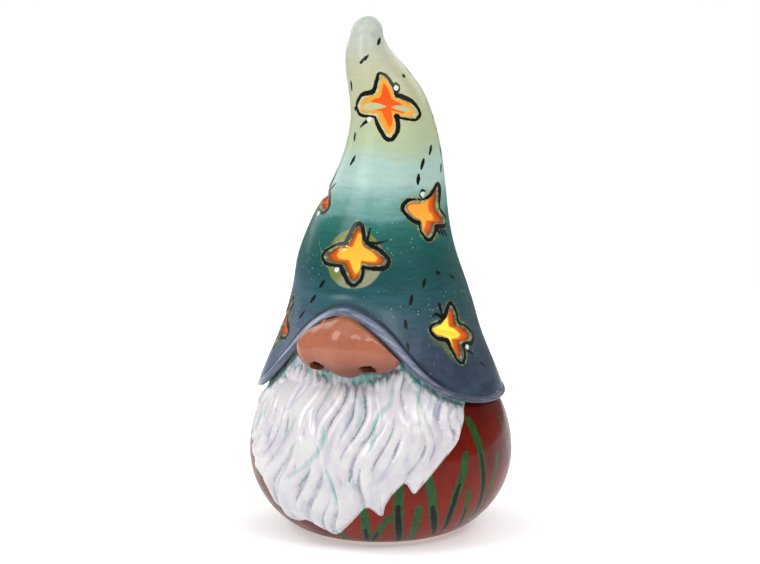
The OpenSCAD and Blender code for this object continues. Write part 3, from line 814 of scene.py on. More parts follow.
@dataclass
class Hat:
    """The hat that lifts off as the lid, with its rolled lip and its star windows."""

    form: HatForm
    glaze: HatGlaze = field(default_factory=HatGlaze)
    columns: tuple[int, int] = (270, 96)
    rows: int = 168
    bulge: float = 1.25
    groove: float = 0.5
    side_bulge: float = 0.35
    side_groove: float = 0.12
    disc: float = 13.0
    ink_margin: float = 1.35
    dark_front: float = 112.0
    ledge_bearing: float = 50.0
    ledge: tuple[float, float] = (79.06, 82.0)
    ledge_in: float = 40.3
    inner_top: float = 0.93
    dashes: tuple[tuple[float, float, float, float], ...] = (
        (63, 219.5, 3.8, 45), (4, 212, 5.8, 36), (-49, 200, 4, 80), (70.5, 172.5, 4, 60),
        (56, 167, 4.4, 70), (51, 160.5, 4, 88), (98, 171, 4, 80), (90, 164, 3.6, 60),
        (-22, 115.5, 3.8, 50), (-29, 108.5, 3.8, 55), (-36, 101, 3.6, 58), (-63, 104, 3.4, 90),
        (51, 116.5, 4, 60), (39.5, 110, 4.2, 68), (34, 100, 4.0, 92), (34, 91, 3.4, 100),
        (65, 120, 2.4, 170), (80, 117, 2.6, 148), (83, 78.5, 3.6, 142), (-30, 168, 4, 70),
        (-38, 178, 3.6, 100), (-90, 128, 3.6, 80), (-96, 120, 3.4, 110), (-88, 84, 4, 60),
        (-100, 150, 4, 95), (-140, 140, 4, 70), (-150, 128, 3.6, 105), (-146, 82, 4, 50),
        (150, 130, 4, 75), (146, 122, 3.6, 110), (152, 80, 4, 130), (98, 96, 3.4, 70),
        (104, 140, 3.8, 100), (135, 160, 3.8, 60), (-160, 176, 3.6, 80), (150, 190, 3.6, 100),
        (-70, 190, 3.6, 60), (-150, 205, 3.4, 80), (100, 206, 3.4, 110),
    )
    specks: tuple[tuple[float, float], ...] = ((66, 204.5), (-44, 190), (-150, 186), (140, 178))

    def _section(self, a: Array) -> list[tuple[Array, Array]]:
        """Radii and heights of the hat's section, row by row, for every bearing.

        Args:
            a: Bearings of the columns.

        Returns:
            Rows of (radii, heights) from the tip's outside, round the lip, to the inside.
        """
        f = self.form
        w = turned(a)
        edge, crest = f.edge(w), f.crest(w)
        side = ease(np.abs(w - f.notch_bearing), 38, 66)
        bulge = self.bulge + (self.side_bulge - self.bulge) * side
        deep = self.groove + (self.side_groove - self.groove) * side
        tall = f.height - f.brim
        cap_low = f.brim + tall * f.tip_start
        rows: list[tuple[Array, Array]] = []
        for t in np.radians(np.linspace(90, 6, 11)):
            z = np.full_like(a, cap_low + (f.height - cap_low) * math.sin(t))
            rows.append((f.outside(w, z), z))
        for v in np.linspace(1, 0, self.rows):
            z = crest + (cap_low - crest) * v
            groove = deep * np.exp(-(((z - crest) / 0.9) ** 2))
            rows.append((f.outside(w, z) + self._hand(w, z) - groove, z))
        middle, tall_lip = (edge + crest) / 2, (crest - edge) / 2
        double = 0.5 * ease(w, 8, 22)
        for t in np.radians(np.linspace(74, -90, 15)):
            z = middle + tall_lip * math.sin(t)
            out = f.outside(w, z)
            round_share = max(math.cos(t), 0.0) ** 0.55
            start = out - deep if t > 0 else out - f.edge_wall / 2
            r = start + (out + bulge - start) * round_share
            rows.append((r - double * math.exp(-((math.sin(t) - 0.3) / 0.16) ** 2), z))
        rise = f.edge_wall / 2
        for t in np.radians((-60, -30, 0)):
            z = edge + rise + rise * math.sin(t)
            out = f.outside(w, z)
            rows.append((out - f.edge_wall / 2 - f.edge_wall / 2 * math.cos(t), z))
        top = f.brim + tall * self.inner_top
        low = edge + rise
        for v in np.linspace(0.03, 1, 30):
            z = low + (top - low) * v
            rows.append((f.inside(w, z), z))
        last = np.full_like(a, top + 1.5)
        rows.append((0.5 * (f.radius(last) - f.wall), last))
        rows.append((np.zeros_like(a), last + 0.5))
        return rows

    @staticmethod
    def _hand(a: Array, z: Array) -> Array:
        """The slight unevenness that the maker's hands leave, in millimetres."""
        r = np.radians(a)
        return 0.22 * np.sin(3 * r + z / 17) + 0.16 * np.sin(5 * r - z / 11 + 1) + 0.12 * np.sin(
            2 * r + z / 6.5
        )

    def _cutters(self) -> Object:
        """Model the knife's way through each star window, a little wider at the face."""
        solids = []
        layers = ((2.6, 1.12), (0.25, 1.06), (-0.3, 1.0), (-0.9, 0.94), (-4.7, 0.68), (-8.0, 0.5))
        for i, star in enumerate(STARS):
            rings = []
            for proud, grow in layers:
                ring = star.outline(grow)
                rings.append(star.on_hat(self.form, np.vstack([ring, ring[:1]]), proud))
            rings.insert(0, np.repeat(rings[0].mean(0)[None], len(rings[0]), 0))
            rings.append(np.repeat(rings[-1].mean(0)[None], len(rings[0]), 0))
            solids.append(Shop.wrap(f"cutter_{i}", np.array(rings)))
        return Shop.join(solids[0], *solids[1:])

    def _ledge(self) -> Object:
        """Model the ring inside the hat that rests on the pot's mouth."""
        a = np.linspace(self.ledge_bearing, 360 - self.ledge_bearing, 90)
        low, high = self.ledge
        out = float(self.form.inside(np.array(90.0), np.array(high))) + 1.8
        loop = ((self.ledge_in, low + 0.3), (self.ledge_in + 0.3, low), (out, low), (out, high),
                (self.ledge_in + 0.3, high), (self.ledge_in, high - 0.3), (self.ledge_in, low + 0.3))
        rows = np.array([self.form.point(a, np.full_like(a, r), np.full_like(a, z)) for r, z in loop])
        first = np.repeat(rows[:, :1].mean(0, keepdims=True), len(loop), 0)
        last = np.repeat(rows[:, -1:].mean(0, keepdims=True), len(loop), 0)
        return Shop.wrap("ledge", np.concatenate([first, rows, last], axis=1))

    def _paint(self, obj: Object) -> None:
        """Mark where the brush went, for the glaze to read."""
        f = self.form
        p = Shop.corners(obj) / MM
        sx, sy = f.sway(p[:, 2])
        x, y = p[:, 0] - sx, p[:, 1] - sy
        a = np.degrees(np.arctan2(x, -y))
        r = np.hypot(x, y)
        z = p[:, 2]
        crest = f.crest(a)
        depth = np.maximum(f.outside(a, z) - r, 0)
        ink: list[Stroke] = []
        dots: list[Stroke] = []
        window: list[Stroke] = []
        halo = np.full(len(p), 30.0)
        for star in STARS:
            ring = star.outline(1.0, self.ink_margin)
            ring = np.vstack([ring, ring[:1]])
            turn = np.linspace(0, 2 * math.pi, len(ring))
            half = 0.84 + 0.2 * np.sin(3 * turn + star.bearing) + 0.1 * np.sin(7 * turn)
            path = star.on_hat(f, ring)
            ink.append(Stroke(path, half))
            for mark in star.marks:
                half = np.linspace(0.85, 0.45, len(mark))
                ink.append(Stroke(star.on_hat(f, np.array(mark)), half))
            for dot in star.dots:
                spot = star.on_hat(f, np.array([dot, (dot[0] + 0.5, dot[1] + 0.3)]))
                dots.append(Stroke(spot, np.array([1.15, 0.9])))
            inner = star.outline(1.0, 0.7)
            window.append(Stroke(star.on_hat(f, np.vstack([inner, inner[:1]])), np.full(len(inner) + 1, 0.6)))
            centre = star.on_hat(f, np.zeros((1, 2)))[0]
            away = np.linalg.norm(p - centre, axis=1)
            near = away < 30
            gap = np.full(len(p), 30.0)
            q, body = p[near], path[::6]
            gap[near] = np.min(np.linalg.norm(q[:, None] - body[None], axis=2), axis=1)
            gap[away < 9 * star.size] = 0
            halo = np.minimum(halo, 0.5 * gap + 0.5 * (away - 11 * star.size))
        dashes = []
        for bearing, height, length, lean in self.dashes:
            t = math.radians(lean)
            star = Star(bearing, height, StarCut.WIDE)
            way = np.array([math.cos(t), math.sin(t)]) * length / 2
            dashes.append(Stroke(star.on_hat(f, np.array([-way, way * 0.2, way])),
                                 np.array([0.5, 0.85, 0.45])))
        for bearing, height in self.specks:
            star = Star(bearing, height, StarCut.WIDE)
            dashes.append(Stroke(star.on_hat(f, np.array([(0.0, 0.0), (0.3, 0.2)])), np.array([0.9, 0.8])))
        lip = ease(crest + 0.2 - z, 0, 1.0) * (1 - 0.85 * ease(a, 40, 60)) * (1 - 0.5 * ease(-a, 60, 90))
        Shop.mark(obj, "ink", laid_on(p, ink, 3.0))
        Shop.mark(obj, "dot", laid_on(p, dots, 3.0))
        Shop.mark(obj, "dash", laid_on(p, dashes, 3.0))
        Shop.mark(obj, "window", laid_on(p, window, 3.0))
        Shop.mark(obj, "halo", halo)
        centre = STARS[1].on_hat(f, np.array([(0.0, -1.0)]))[0]
        Shop.mark(obj, "disc", np.minimum(np.linalg.norm(p - centre, axis=1) - self.disc, 20))
        # The painted glow inside starts above this height; below it the inside keeps the outside's glaze,
        # unlit.
        dark_below = np.maximum(crest + 6, self.dark_front - 40 * ease(np.abs(a), 46, 60))
        Shop.mark(obj, "depth", depth * ease(z - dark_below, 0, 4))
        Shop.mark(obj, "lip", lip)
        # Where the painted shade falls: the crease above the lip and just above the brim's lower edge, fading
        # out at the sides.
        crease_shade = np.exp(-(((z - crest - 0.7) / 1.3) ** 2)) + 0.8 * np.exp(-(((z - f.edge(a) - 1.0)
                                                                               / 0.5) ** 2))
        Shop.mark(obj, "sweep",
                  z - 0.75 * (f.edge(a) - f.brim) * ease(-z, -f.visor_top - 22, -f.visor_top + 4))
        Shop.mark(obj, "crease", crease_shade * (1 - ease(np.abs(a), 46, 64)))
        # Where the painted highlight runs: the middle of the rolled lip.
        Shop.mark(obj, "lip_highlight_band", lip * np.exp(-(((z - (f.edge(a) + crest) / 2) / 1.3) ** 2)))

    def build(self) -> list[Object]:
        """Model the hat, cut its windows, and glaze it.

        Returns:
            The hat's pieces.
        """
        a = bearing_columns((-80.0, 124.0), *self.columns)
        sheet = np.array([self.form.point(a, r, z) for r, z in self._section(a)])
        hat = Shop.wrap("hat_shell", sheet)
        Shop.cut(hat, self._cutters())
        Shop.join(hat, self._ledge())
        self._paint(hat)
        Shop.smooth(hat, 50)
        hat.data.materials.clear()
        hat.data.materials.append(self.glaze.mix())
        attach(hat, "hat")
        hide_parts("hat")
        return [hat]


# --------------------------------------------------------------------------- pot


@dataclass(frozen=True)
class Blade:
    """A blade of grass brushed up the pot, from its tip down to its root."""

    path: tuple[tuple[float, float], ...]
    width: float = 3.3
    core_top: float = 0.0
    core_width: float = 1.4

    def strokes(self, form: PotForm) -> tuple[Stroke, Stroke | None]:
        """The green stroke and the black one laid over its lower part."""
        marks = np.array(self.path)
        t = np.linspace(0, 1, len(marks))
        fine = np.linspace(0, 1, 14)
        a, z = np.interp(fine, t, marks[:, 0]), np.interp(fine, t, marks[:, 1])
        r = form.outside(z)
        path = np.stack([r * np.sin(np.radians(a)), -r * np.cos(np.radians(a)), z], 1)
        half = self.width / 2 * (0.9 + 0.16 * np.sin(math.pi * np.clip(fine * 1.15, 0, 1)))
        half[-4:] *= np.array([0.97, 0.9, 0.78, 0.6])
        green = Stroke(path, half)
        low = z < self.core_top
        if low.sum() < 2:
            return green, None
        share = np.linspace(0, 1, int(low.sum()))
        core = 1.15 * self.core_width / 2 * np.sin(math.pi * (0.16 + 0.7 * share)) ** 0.6
        return green, Stroke(path[low], core)


FRONT_BLADES: tuple[Blade, ...] = (
    Blade(((64, 57), (66, 52), (67.5, 45), (69, 34), (71, 24), (74, 12)), 4.2, 44, 2.2),
    Blade(((58.6, 43), (57, 35), (54, 26), (54, 16), (57, 5)), 4.4, 31, 2.2),
    Blade(((80.5, 39), (78.5, 32), (77, 22), (79, 13), (83, 5)), 3.0, 26, 1.2),
    Blade(((90, 54), (92.5, 46), (95, 34), (96, 20)), 2.2, 30, 0.9),
    Blade(((61, 26), (62.5, 19), (65, 12), (69, 5)), 3.0, 18, 1.3),
    Blade(((40, 35), (41.5, 29), (43.5, 20), (47, 12), (52, 5)), 4.4, 22, 2.4),
    Blade(((36.5, 21.5), (37, 14), (37, 2.4)), 3.8, 0, 1.0),
    Blade(((27.5, 31), (27, 25), (27.5, 16), (29, 9), (31, 2)), 4.6, 24, 2.4),
    Blade(((23.5, 17.5), (20, 12), (17, 7), (14, 2.6)), 3.4, 9, 1.5),
    Blade(((12, 20), (12, 13), (11.5, 7), (11, 2.4)), 4.2, 11, 1.8),
    Blade(((-2.4, 9.5), (-3, 6), (-3.8, 2.2)), 3.2, 5, 1.2),
    Blade(((71, 17), (72, 11), (76, 4)), 2.6, 9, 1.2), Blade(((88, 24), (88, 15), (91, 6)), 2.6, 14, 1.0),
    Blade(((-52, 40), (-50, 31), (-47, 22), (-45, 13), (-46, 5)), 3.4, 27, 1.6),
    Blade(((-60, 27), (-57, 19), (-55, 11), (-56, 4)), 3.0, 14, 1.2),
    Blade(((-40, 20), (-38, 14), (-35, 8), (-33, 3)), 3.2, 12, 1.5),
    Blade(((-68, 48), (-66, 38), (-66, 27), (-69, 15)), 3.2, 33, 1.4),
)


@dataclass(frozen=True)
class RedGlaze:
    """Rust-red gloss glaze, with grass brushed up from the foot."""

    deep: Colour = paint(88, 17, 8)
    warm: Colour = paint(120, 27, 13)
    bright: Colour = paint(138, 38, 20)
    green: Colour = paint(44, 90, 44)
    green_dark: Colour = paint(34, 72, 36)
    black: Colour = paint(14, 13, 16)
    clay: Colour = paint(196, 160, 130)
    painted: bool = True

    def mix(self, name: str) -> Material:
        """Mix the glaze under a name, with the grass only where it is painted."""
        b = Bench(name)
        z = b.height()
        tone = b.fade(b.noise(38, 4), 0.3, 0.7)
        colour = b.mix(tone, self.deep, self.warm)
        low = b.times(b.fade(z, 48, 22), b.fade(b.noise(26, 2), 0.3, 0.62))
        colour = b.mix(b.times(low, 0.6), colour, self.bright)
        colour = b.mix(b.fade(z, 44, 66, 0.0, 0.6), colour, self.deep)
        streak = b.noise(1.0, 4, b.stretch((240, 240, 60)), 0.65)
        colour = b.mix(b.fade(streak, 0.45, 0.8, 0.0, 0.35), colour, paint(70, 14, 8), "MULTIPLY")
        if self.painted:
            wobble = b.swing(b.noise(700, 2), 0.7)
            brush = b.noise(1.0, 3, b.stretch((700, 700, 60)), 0.6)
            green = b.mix(b.fade(brush, 0.35, 0.7), self.green, self.green_dark)
            edge = b.plus(b.read("blade"), wobble)
            colour = b.mix(b.fade(edge, 0.15, -0.35), colour, green)
            colour = b.mix(b.fade(b.plus(b.read("core"), wobble), 0.12, -0.15), colour, self.black)
        foot = b.fade(z, 1.2, 0.9)
        colour = b.mix(foot, colour, b.mix(b.fade(b.noise(900, 3), 0.3, 0.7), self.clay, paint(160, 124, 98)))
        b.set(Base_Color=colour, Coat_Weight=0.2, Coat_Roughness=0.05, Specular_IOR_Level=0.08)
        b.set(Roughness=b.fade(b.noise(220, 3), 0.3, 0.7, 0.24, 0.36))
        b.set(Normal=b.bump(b.noise(60, 2), 0.08, 0.001))
        return b.material


@dataclass
class Pot:
    """The thrown pot on its base slab, and the slab that rises behind the nose."""

    form: PotForm
    hat: HatForm
    glaze: RedGlaze = field(default_factory=RedGlaze)
    inner_glaze: RedGlaze = field(default_factory=lambda: RedGlaze(painted=False))
    columns: tuple[int, int] = (250, 110)
    collar: float = 44.4
    felt_radius: float = 29.2
    felt_room: float = 2.05
    face_angle: float = 44.0
    face_top: float = 103.4
    face_wall: float = 3.9
    seed: int = 11

    def face_radius(self, z: Array) -> Array:
        """Radius of the face slab's front at each height."""
        return self.hat.radius(z) - self.hat.wall - 1.0

    def _section(self) -> Array:
        """The pot's closed section, from under its middle round to its floor's middle."""
        f = self.form
        shoulder = f.bulge + f.dome * math.sqrt(1 - (self.collar / f.radius) ** 2)
        inner = self.collar - f.wall
        points = [(0, self.felt_room), (self.felt_radius * 0.6, self.felt_room),
                  (self.felt_radius, self.felt_room), (self.felt_radius + 0.2, f.foot + 0.3),
                  (self.felt_radius + 0.6, f.foot), (31.6, f.foot), (f.foot_radius - 0.4, f.foot + 0.05)]
        z_low = f.foot + (f.bulge - f.foot) * np.linspace(0.06, 1, 62) ** 1.7
        points += [(float(f.outside(np.array(z))), float(z)) for z in z_low]
        z_high = np.linspace(f.bulge, shoulder, 46)[1:]
        points += [(float(f.outside(np.array(z))), float(z)) for z in z_high]
        points += [(self.collar, shoulder + 0.6), (self.collar, 76), (self.collar, f.mouth - 0.5),
                   (self.collar - 0.5, f.mouth), (inner + 0.6, f.mouth), (inner, f.mouth - 0.6)]
        points += [(inner, 75.0), (inner, shoulder - 1.8)]
        for z in np.linspace(shoulder - 3, f.floor + 2.2, 30):
            points.append((float(np.maximum(f.outside(np.array(z)) - f.wall, inner)), float(z)))
        corner = float(f.outside(np.array(f.floor))) - f.wall
        points += [(corner + 0.2, f.floor + 0.8), (corner - 1.4, f.floor), (20, f.floor), (0, f.floor)]
        return np.array(points)

    def _grass(self) -> tuple[list[Stroke], list[Stroke]]:
        """All the blades round the pot, those at the back brushed in the same way."""
        rng = np.random.default_rng(self.seed)
        blades = list(FRONT_BLADES)
        for bearing in np.arange(102, 286, 8.5):
            tall = rng.uniform(14, 52) if rng.random() < 0.6 else rng.uniform(10, 24)
            lean, wave = rng.uniform(-7, 7), rng.uniform(-3, 3)
            steps = np.linspace(0, 1, 5)
            path = tuple((bearing + lean * s + wave * math.sin(3 * s), tall * (1 - s) + 3 * s)
                         for s in steps)
            blades.append(Blade(path, rng.uniform(2.6, 4.4), tall * rng.uniform(0.45, 0.75),
                                rng.uniform(1.1, 2.0)))
        pairs = [blade.strokes(self.form) for blade in blades]
        return [green for green, _ in pairs], [core for _, core in pairs if core is not None]

    def _body(self) -> Object:
        """Throw the pot, and mark the grass on it."""
        a = bearing_columns((-70.0, 110.0), *self.columns)
        rad = np.radians(a)
        rows = [np.stack([r * np.sin(rad), -r * np.cos(rad), np.full_like(rad, z)], 1)
                for r, z in self._section()]
        pot = Shop.wrap("pot_body", np.array(rows))
        p = Shop.corners(pot) / MM
        green, black = self._grass()
        inside = np.hypot(p[:, 0], p[:, 1]) < self.form.outside(p[:, 2]) - 1.5
        Shop.mark(pot, "blade", np.where(inside, 4.0, laid_on(p, green)))
        Shop.mark(pot, "core", np.where(inside, 4.0, laid_on(p, black)))
        return pot

    def _face(self) -> Object:
        """Model the slab behind the nose, arched to follow the brim."""
        a = np.linspace(-self.face_angle, self.face_angle, 60)
        top = np.minimum(self.face_top, self.hat.edge(a) + 4)
        top = np.maximum(top, self.form.mouth + 0.3)
        rows = []
        for v in np.linspace(0, 1, 18):
            z = self.form.mouth + (top - self.form.mouth) * v
            rows.append((self.face_radius(z) - 0.02, z))
        rows.append((self.face_radius(top) - 0.5, top))
        rows[-2] = (rows[-2][0], rows[-2][1] - 0.4)
        for v in np.linspace(1, 0, 18):
            z = self.form.mouth + (top - self.form.mouth) * v
            rows.append((self.face_radius(z) - self.face_wall, z))
        rows.append(rows[0])
        rad = np.radians(a)
        sheet = np.array([np.stack([r * np.sin(rad), -r * np.cos(rad), z], 1) for r, z in rows])
        first = np.repeat(sheet[:, :1].mean(0, keepdims=True), len(rows), 0)
        last = np.repeat(sheet[:, -1:].mean(0, keepdims=True), len(rows), 0)
        return Shop.wrap("face_slab_form", np.concatenate([first, sheet, last], axis=1))

    def build(self) -> list[Object]:
        """Make the pot and its face slab.

        Returns:
            The pot's pieces.
        """
        pot, face = self._body(), self._face()
        for obj, nodes, material in (
            (pot, ("pot", "base_slab"), self.glaze.mix("red_glaze")),
            (face, ("face_slab",), self.inner_glaze.mix("red_glaze_plain")),
        ):
            Shop.smooth(obj, 50)
            obj.data.materials.clear()
            obj.data.materials.append(material)
            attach(obj, "pot")
            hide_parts(*nodes)
        return [pot, face]


# --------------------------------------------------------------------------- beard


@dataclass(frozen=True)
class Lock:
    """One combed lock: its middle line, half width, and how far it stands up."""

    path: Array
    half: Array
    level: float
    crown: float
    grooves: int

    def lay(self, u: Array, v: Array, top: Array) -> None:
        """Raise a height field wherever this lock covers it.

        Args:
            u: Distances across, in millimetres.
            v: Distances down the surface, in millimetres.
            top: The height field, changed in place.
        """
        reach = self.half.max() + 0.5
        near = ((u > self.path[:, 0].min() - reach) & (u < self.path[:, 0].max() + reach)
                & (v > self.path[:, 1].min() - reach) & (v < self.path[:, 1].max() + reach))
        index = np.nonzero(near)
        p = np.stack([u[index], v[index]], 1)
        best = np.full(len(p), 1e9)
        side, along = np.zeros(len(p)), np.zeros(len(p))
        count = len(self.path) - 1
        for i in range(count):
            a, b = self.path[i], self.path[i + 1]
            ab = b - a
            length = max(float(ab @ ab), 1e-9)
            t = np.clip(((p - a) @ ab) / length, 0, 1)
            off = p - a - t[:, None] * ab
            gap = np.hypot(off[:, 0], off[:, 1])
            closer = gap < best
            best = np.where(closer, gap, best)
            turn = np.sign(ab[0] * off[:, 1] - ab[1] * off[:, 0])
            side = np.where(closer, gap * turn, side)
            along = np.where(closer, (i + t) / count, along)
        half = np.interp(along, np.linspace(0, 1, len(self.half)), self.half)
        x = np.clip(side / half, -1, 1)
        dome = np.sqrt(np.clip(1 - x * x, 0, 1))
        comb = 0.5 - 0.5 * np.cos(2 * math.pi * (x * 0.5 + 0.5) * self.grooves)
        ends = np.clip(np.minimum(along, 1 - along) * 6, 0, 1) ** 0.5
        height = self.level + self.crown * dome * (0.35 + 0.65 * ends) - 0.16 * (1 - comb) * dome
        covered = best < half
        rise = np.where(covered, height, -9.0)
        top[index] = np.maximum(top[index], rise)


@dataclass(frozen=True)
class BeardGlaze:
    """White gloss glaze, with teal and lavender settled in the combed grooves and painted shade towards the
    bottom.
    """

    white: Colour = paint(236, 233, 233)
    shade: Colour = paint(222, 216, 224)
    teal: Colour = paint(96, 176, 170)
    teal_deep: Colour = paint(58, 144, 138)
    lavender: Colour = paint(168, 160, 196)
    # Painted shade: multiplied in to darken the beard towards the bottom.
    low: Colour = paint(214, 218, 222)

    def mix(self) -> Material:
        """Mix the glaze.

        Returns:
            The beard's material.
        """
        b = Bench("beard_glaze")
        groove = b.read("groove")
        colour = b.mix(b.fade(b.noise(90, 3), 0.3, 0.7), self.white, self.shade)
        patch = b.noise(95, 3)
        tint = b.mix(b.fade(patch, 0.47, 0.53), self.lavender, self.teal)
        often = b.fade(b.noise(150, 3), 0.32, 0.58)
        share = b.times(b.fade(groove, 0.2, 0.9), b.times(often, 0.8))
        colour = b.mix(share, colour, tint)
        grain = b.swing(b.noise(420, 3), 1.5)
        wash = b.fade(b.plus(b.read("lavender"), grain), 1.5, -0.4, 0.0, 0.75)
        colour = b.mix(b.times(wash, b.fade(groove, 0.0, 0.8, 0.35, 1.0)), colour, self.lavender)
        wash = b.fade(b.plus(b.read("teal"), grain), 1.0, -0.5, 0.0, 0.95)
        colour = b.mix(b.times(wash, b.fade(groove, 0.0, 0.7, 0.4, 1.0)), colour, self.teal)
        hair = b.noise(1.0, 3, b.stretch((420, 420, 90)), 0.6)
        reach = b.times(b.minus(hair, 0.5), 11.0)
        roots = b.fade(b.plus(b.read("roots"), reach), 3.2, -0.6, 0.0, 0.9)
        tuft = b.mix(b.fade(b.noise(330, 4), 0.4, 0.7), self.teal, self.teal_deep)
        colour = b.mix(b.times(roots, b.fade(hair, 0.62, 0.4, 0.35, 1.0)), colour, tuft)
        # Painted shade: the beard darkens towards the bottom, most near the foot.
        colour = b.mix(b.fade(b.height(), 58, 12, 0.0, 0.5), colour, self.low, "MULTIPLY")
        b.set(Base_Color=colour, Coat_Weight=0.7, Coat_Roughness=0.05, Specular_IOR_Level=0.3)
        b.set(Roughness=b.fade(b.noise(240, 2), 0.3, 0.7, 0.24, 0.36))
        b.set(Normal=b.bump(b.noise(260, 2), 0.05, 0.0005))
        return b.material


@dataclass
class Beard:
    """The beard in relief, combed in S-shaped locks that run to ragged tips."""

    pot: Pot
    glaze: BeardGlaze = field(default_factory=BeardGlaze)
    grid: tuple[int, int] = (290, 204)
    half_angle: float = 72.0
    low: float = 3.0
    high: float = 101.0
    seed: int = 5
    thickness: float = 4.2
    under_brim: float = 0.85
    nose_bearing: float = 2.0
    outline: tuple[tuple[float, float], ...] = (
        (0.30, 1.24), (0.80, 1.10), (0.785, 0.80), (0.81, 0.73), (0.80, 0.62), (0.72, 0.52),
        (0.62, 0.415), (0.548, 0.345), (0.50, 0.43), (0.405, 0.355), (0.35, 0.29), (0.318, 0.21),
        (0.225, 0.29), (0.07, 0.165), (-0.09, 0.055), (-0.19, 0.115), (-0.295, 0.155),
        (-0.39, 0.12), (-0.54, 0.205), (-0.605, 0.335), (-0.715, 0.42), (-0.795, 0.64),
        (-0.78, 0.835), (-0.80, 1.10), (-0.30, 1.24),
    )
    roots: tuple[tuple[float, float], ...] = (
        (-62, 64), (-50, 69), (-40, 76), (-30, 80), (-20, 77), (-10, 75), (0, 73.5), (10, 74),
        (20, 77), (30, 81), (38, 76), (48, 70), (60, 62),
    )
    tips: tuple[tuple[float, float], ...] = (
        (0.0, -54), (0.12, -50), (0.26, -42), (0.36, -30), (0.44, -22), (0.52, -8), (0.62, 0),
        (0.70, 14), (0.78, 19), (0.86, 28), (0.93, 36), (1.0, 54),
    )
    tip_heights: tuple[tuple[float, float], ...] = (
        (0.0, 50), (0.12, 32), (0.26, 18), (0.36, 9), (0.44, 8), (0.52, 2.5), (0.62, 8),
        (0.70, 15), (0.78, 17), (0.86, 27), (0.93, 29), (1.0, 46),
    )
    teal: tuple[tuple[tuple[float, float], ...], ...] = (
        ((2, 75), (3, 67)), ((6, 73), (10, 66), (10, 56)), ((26, 77), (25, 68), (17, 61), (16, 52), (14, 43)),
        ((-7, 59), (-5, 54), (-6, 48), (-12, 40), (-20, 34)), ((-21, 59), (-23, 52), (-28, 47)),
        ((-3, 39), (0, 33), (1, 28), (0, 20)), ((8, 36), (10, 31)), ((38, 71), (39, 65)),
        ((45, 68), (45, 60)), ((-18, 49), (-22, 43)), ((-4, 34), (-10, 25)), ((-44, 60), (-46, 50)),
    )
    lavender: tuple[tuple[tuple[float, float], ...], ...] = (
        ((-7, 70), (0, 63)), ((14, 74), (18, 69), (16, 65)), ((-1, 55), (-3, 46), (-3, 39)),
        ((26, 45), (21, 38), (16, 34)), ((-25, 73), (-25, 66), (-29, 61)), ((30, 46), (30, 38)),
        ((42, 70), (44, 60), (46, 54), (40, 45)), ((-39, 60), (-37, 51), (-31, 40)),
        ((6, 66), (5, 58), (8, 51)), ((-13, 64), (-8, 57)), ((-14, 23), (-18, 18)),
        ((-47, 66), (-50, 55), (-48, 45)),
    )

    def _base(self, z: Array) -> Array:
        """Radius of the pot or the face slab under the beard."""
        form = self.pot.form
        top = np.array(79.0)
        low = np.maximum(form.outside(np.minimum(z, top)), self.pot.collar)
        low = np.where(z < 30, form.outside(z), low)
        return np.where(z > 79, self.pot.face_radius(np.maximum(z, 79)), low)

    def _down(self, z: Array) -> Array:
        """Distance along the surface from the foot up to each height."""
        steps = np.linspace(0.7, 106, 600)
        r = self._base(steps)
        run = np.concatenate([[0], np.cumsum(np.hypot(np.diff(r), np.diff(steps)))])
        return np.interp(z, steps, run)

    def _across(self, a: Array, z: Array) -> Array:
        """Distance across the surface from the middle of the front."""
        return np.radians(a) * (0.35 * self._base(z) + 0.65 * 55)

    def _outline_gap(self, x: Array, z: Array) -> Array:
        """Signed distance to the beard's outline seen from the front, negative inside."""
        span = self.pot.form.mouth - self.pot.form.foot
        ring = np.array([(px * self.pot.form.radius, self.pot.form.foot + pz * span)
                         for px, pz in self.outline])
        for _ in range(2):
            after = np.roll(ring, -1, axis=0)
            ring = np.stack([0.84 * ring + 0.16 * after, 0.16 * ring + 0.84 * after], 1).reshape(-1, 2)
        p = np.stack([x.ravel(), z.ravel()], 1)
        best = np.full(len(p), 1e9)
        inside = np.zeros(len(p), bool)
        for a, b in zip(ring, np.roll(ring, -1, axis=0)):
            ab = b - a
            t = np.clip(((p - a) @ ab) / max(float(ab @ ab), 1e-9), 0, 1)
            best = np.minimum(best, np.linalg.norm(p - a - t[:, None] * ab, axis=1))
            crosses = (a[1] > p[:, 1]) != (b[1] > p[:, 1])
            rise = b[1] - a[1]
            at = a[0] + (p[:, 1] - a[1]) * ab[0] / (rise if abs(rise) > 1e-9 else 1e-9)
            inside ^= crosses & (p[:, 0] < at)
        return np.where(inside, -best, best).reshape(x.shape)

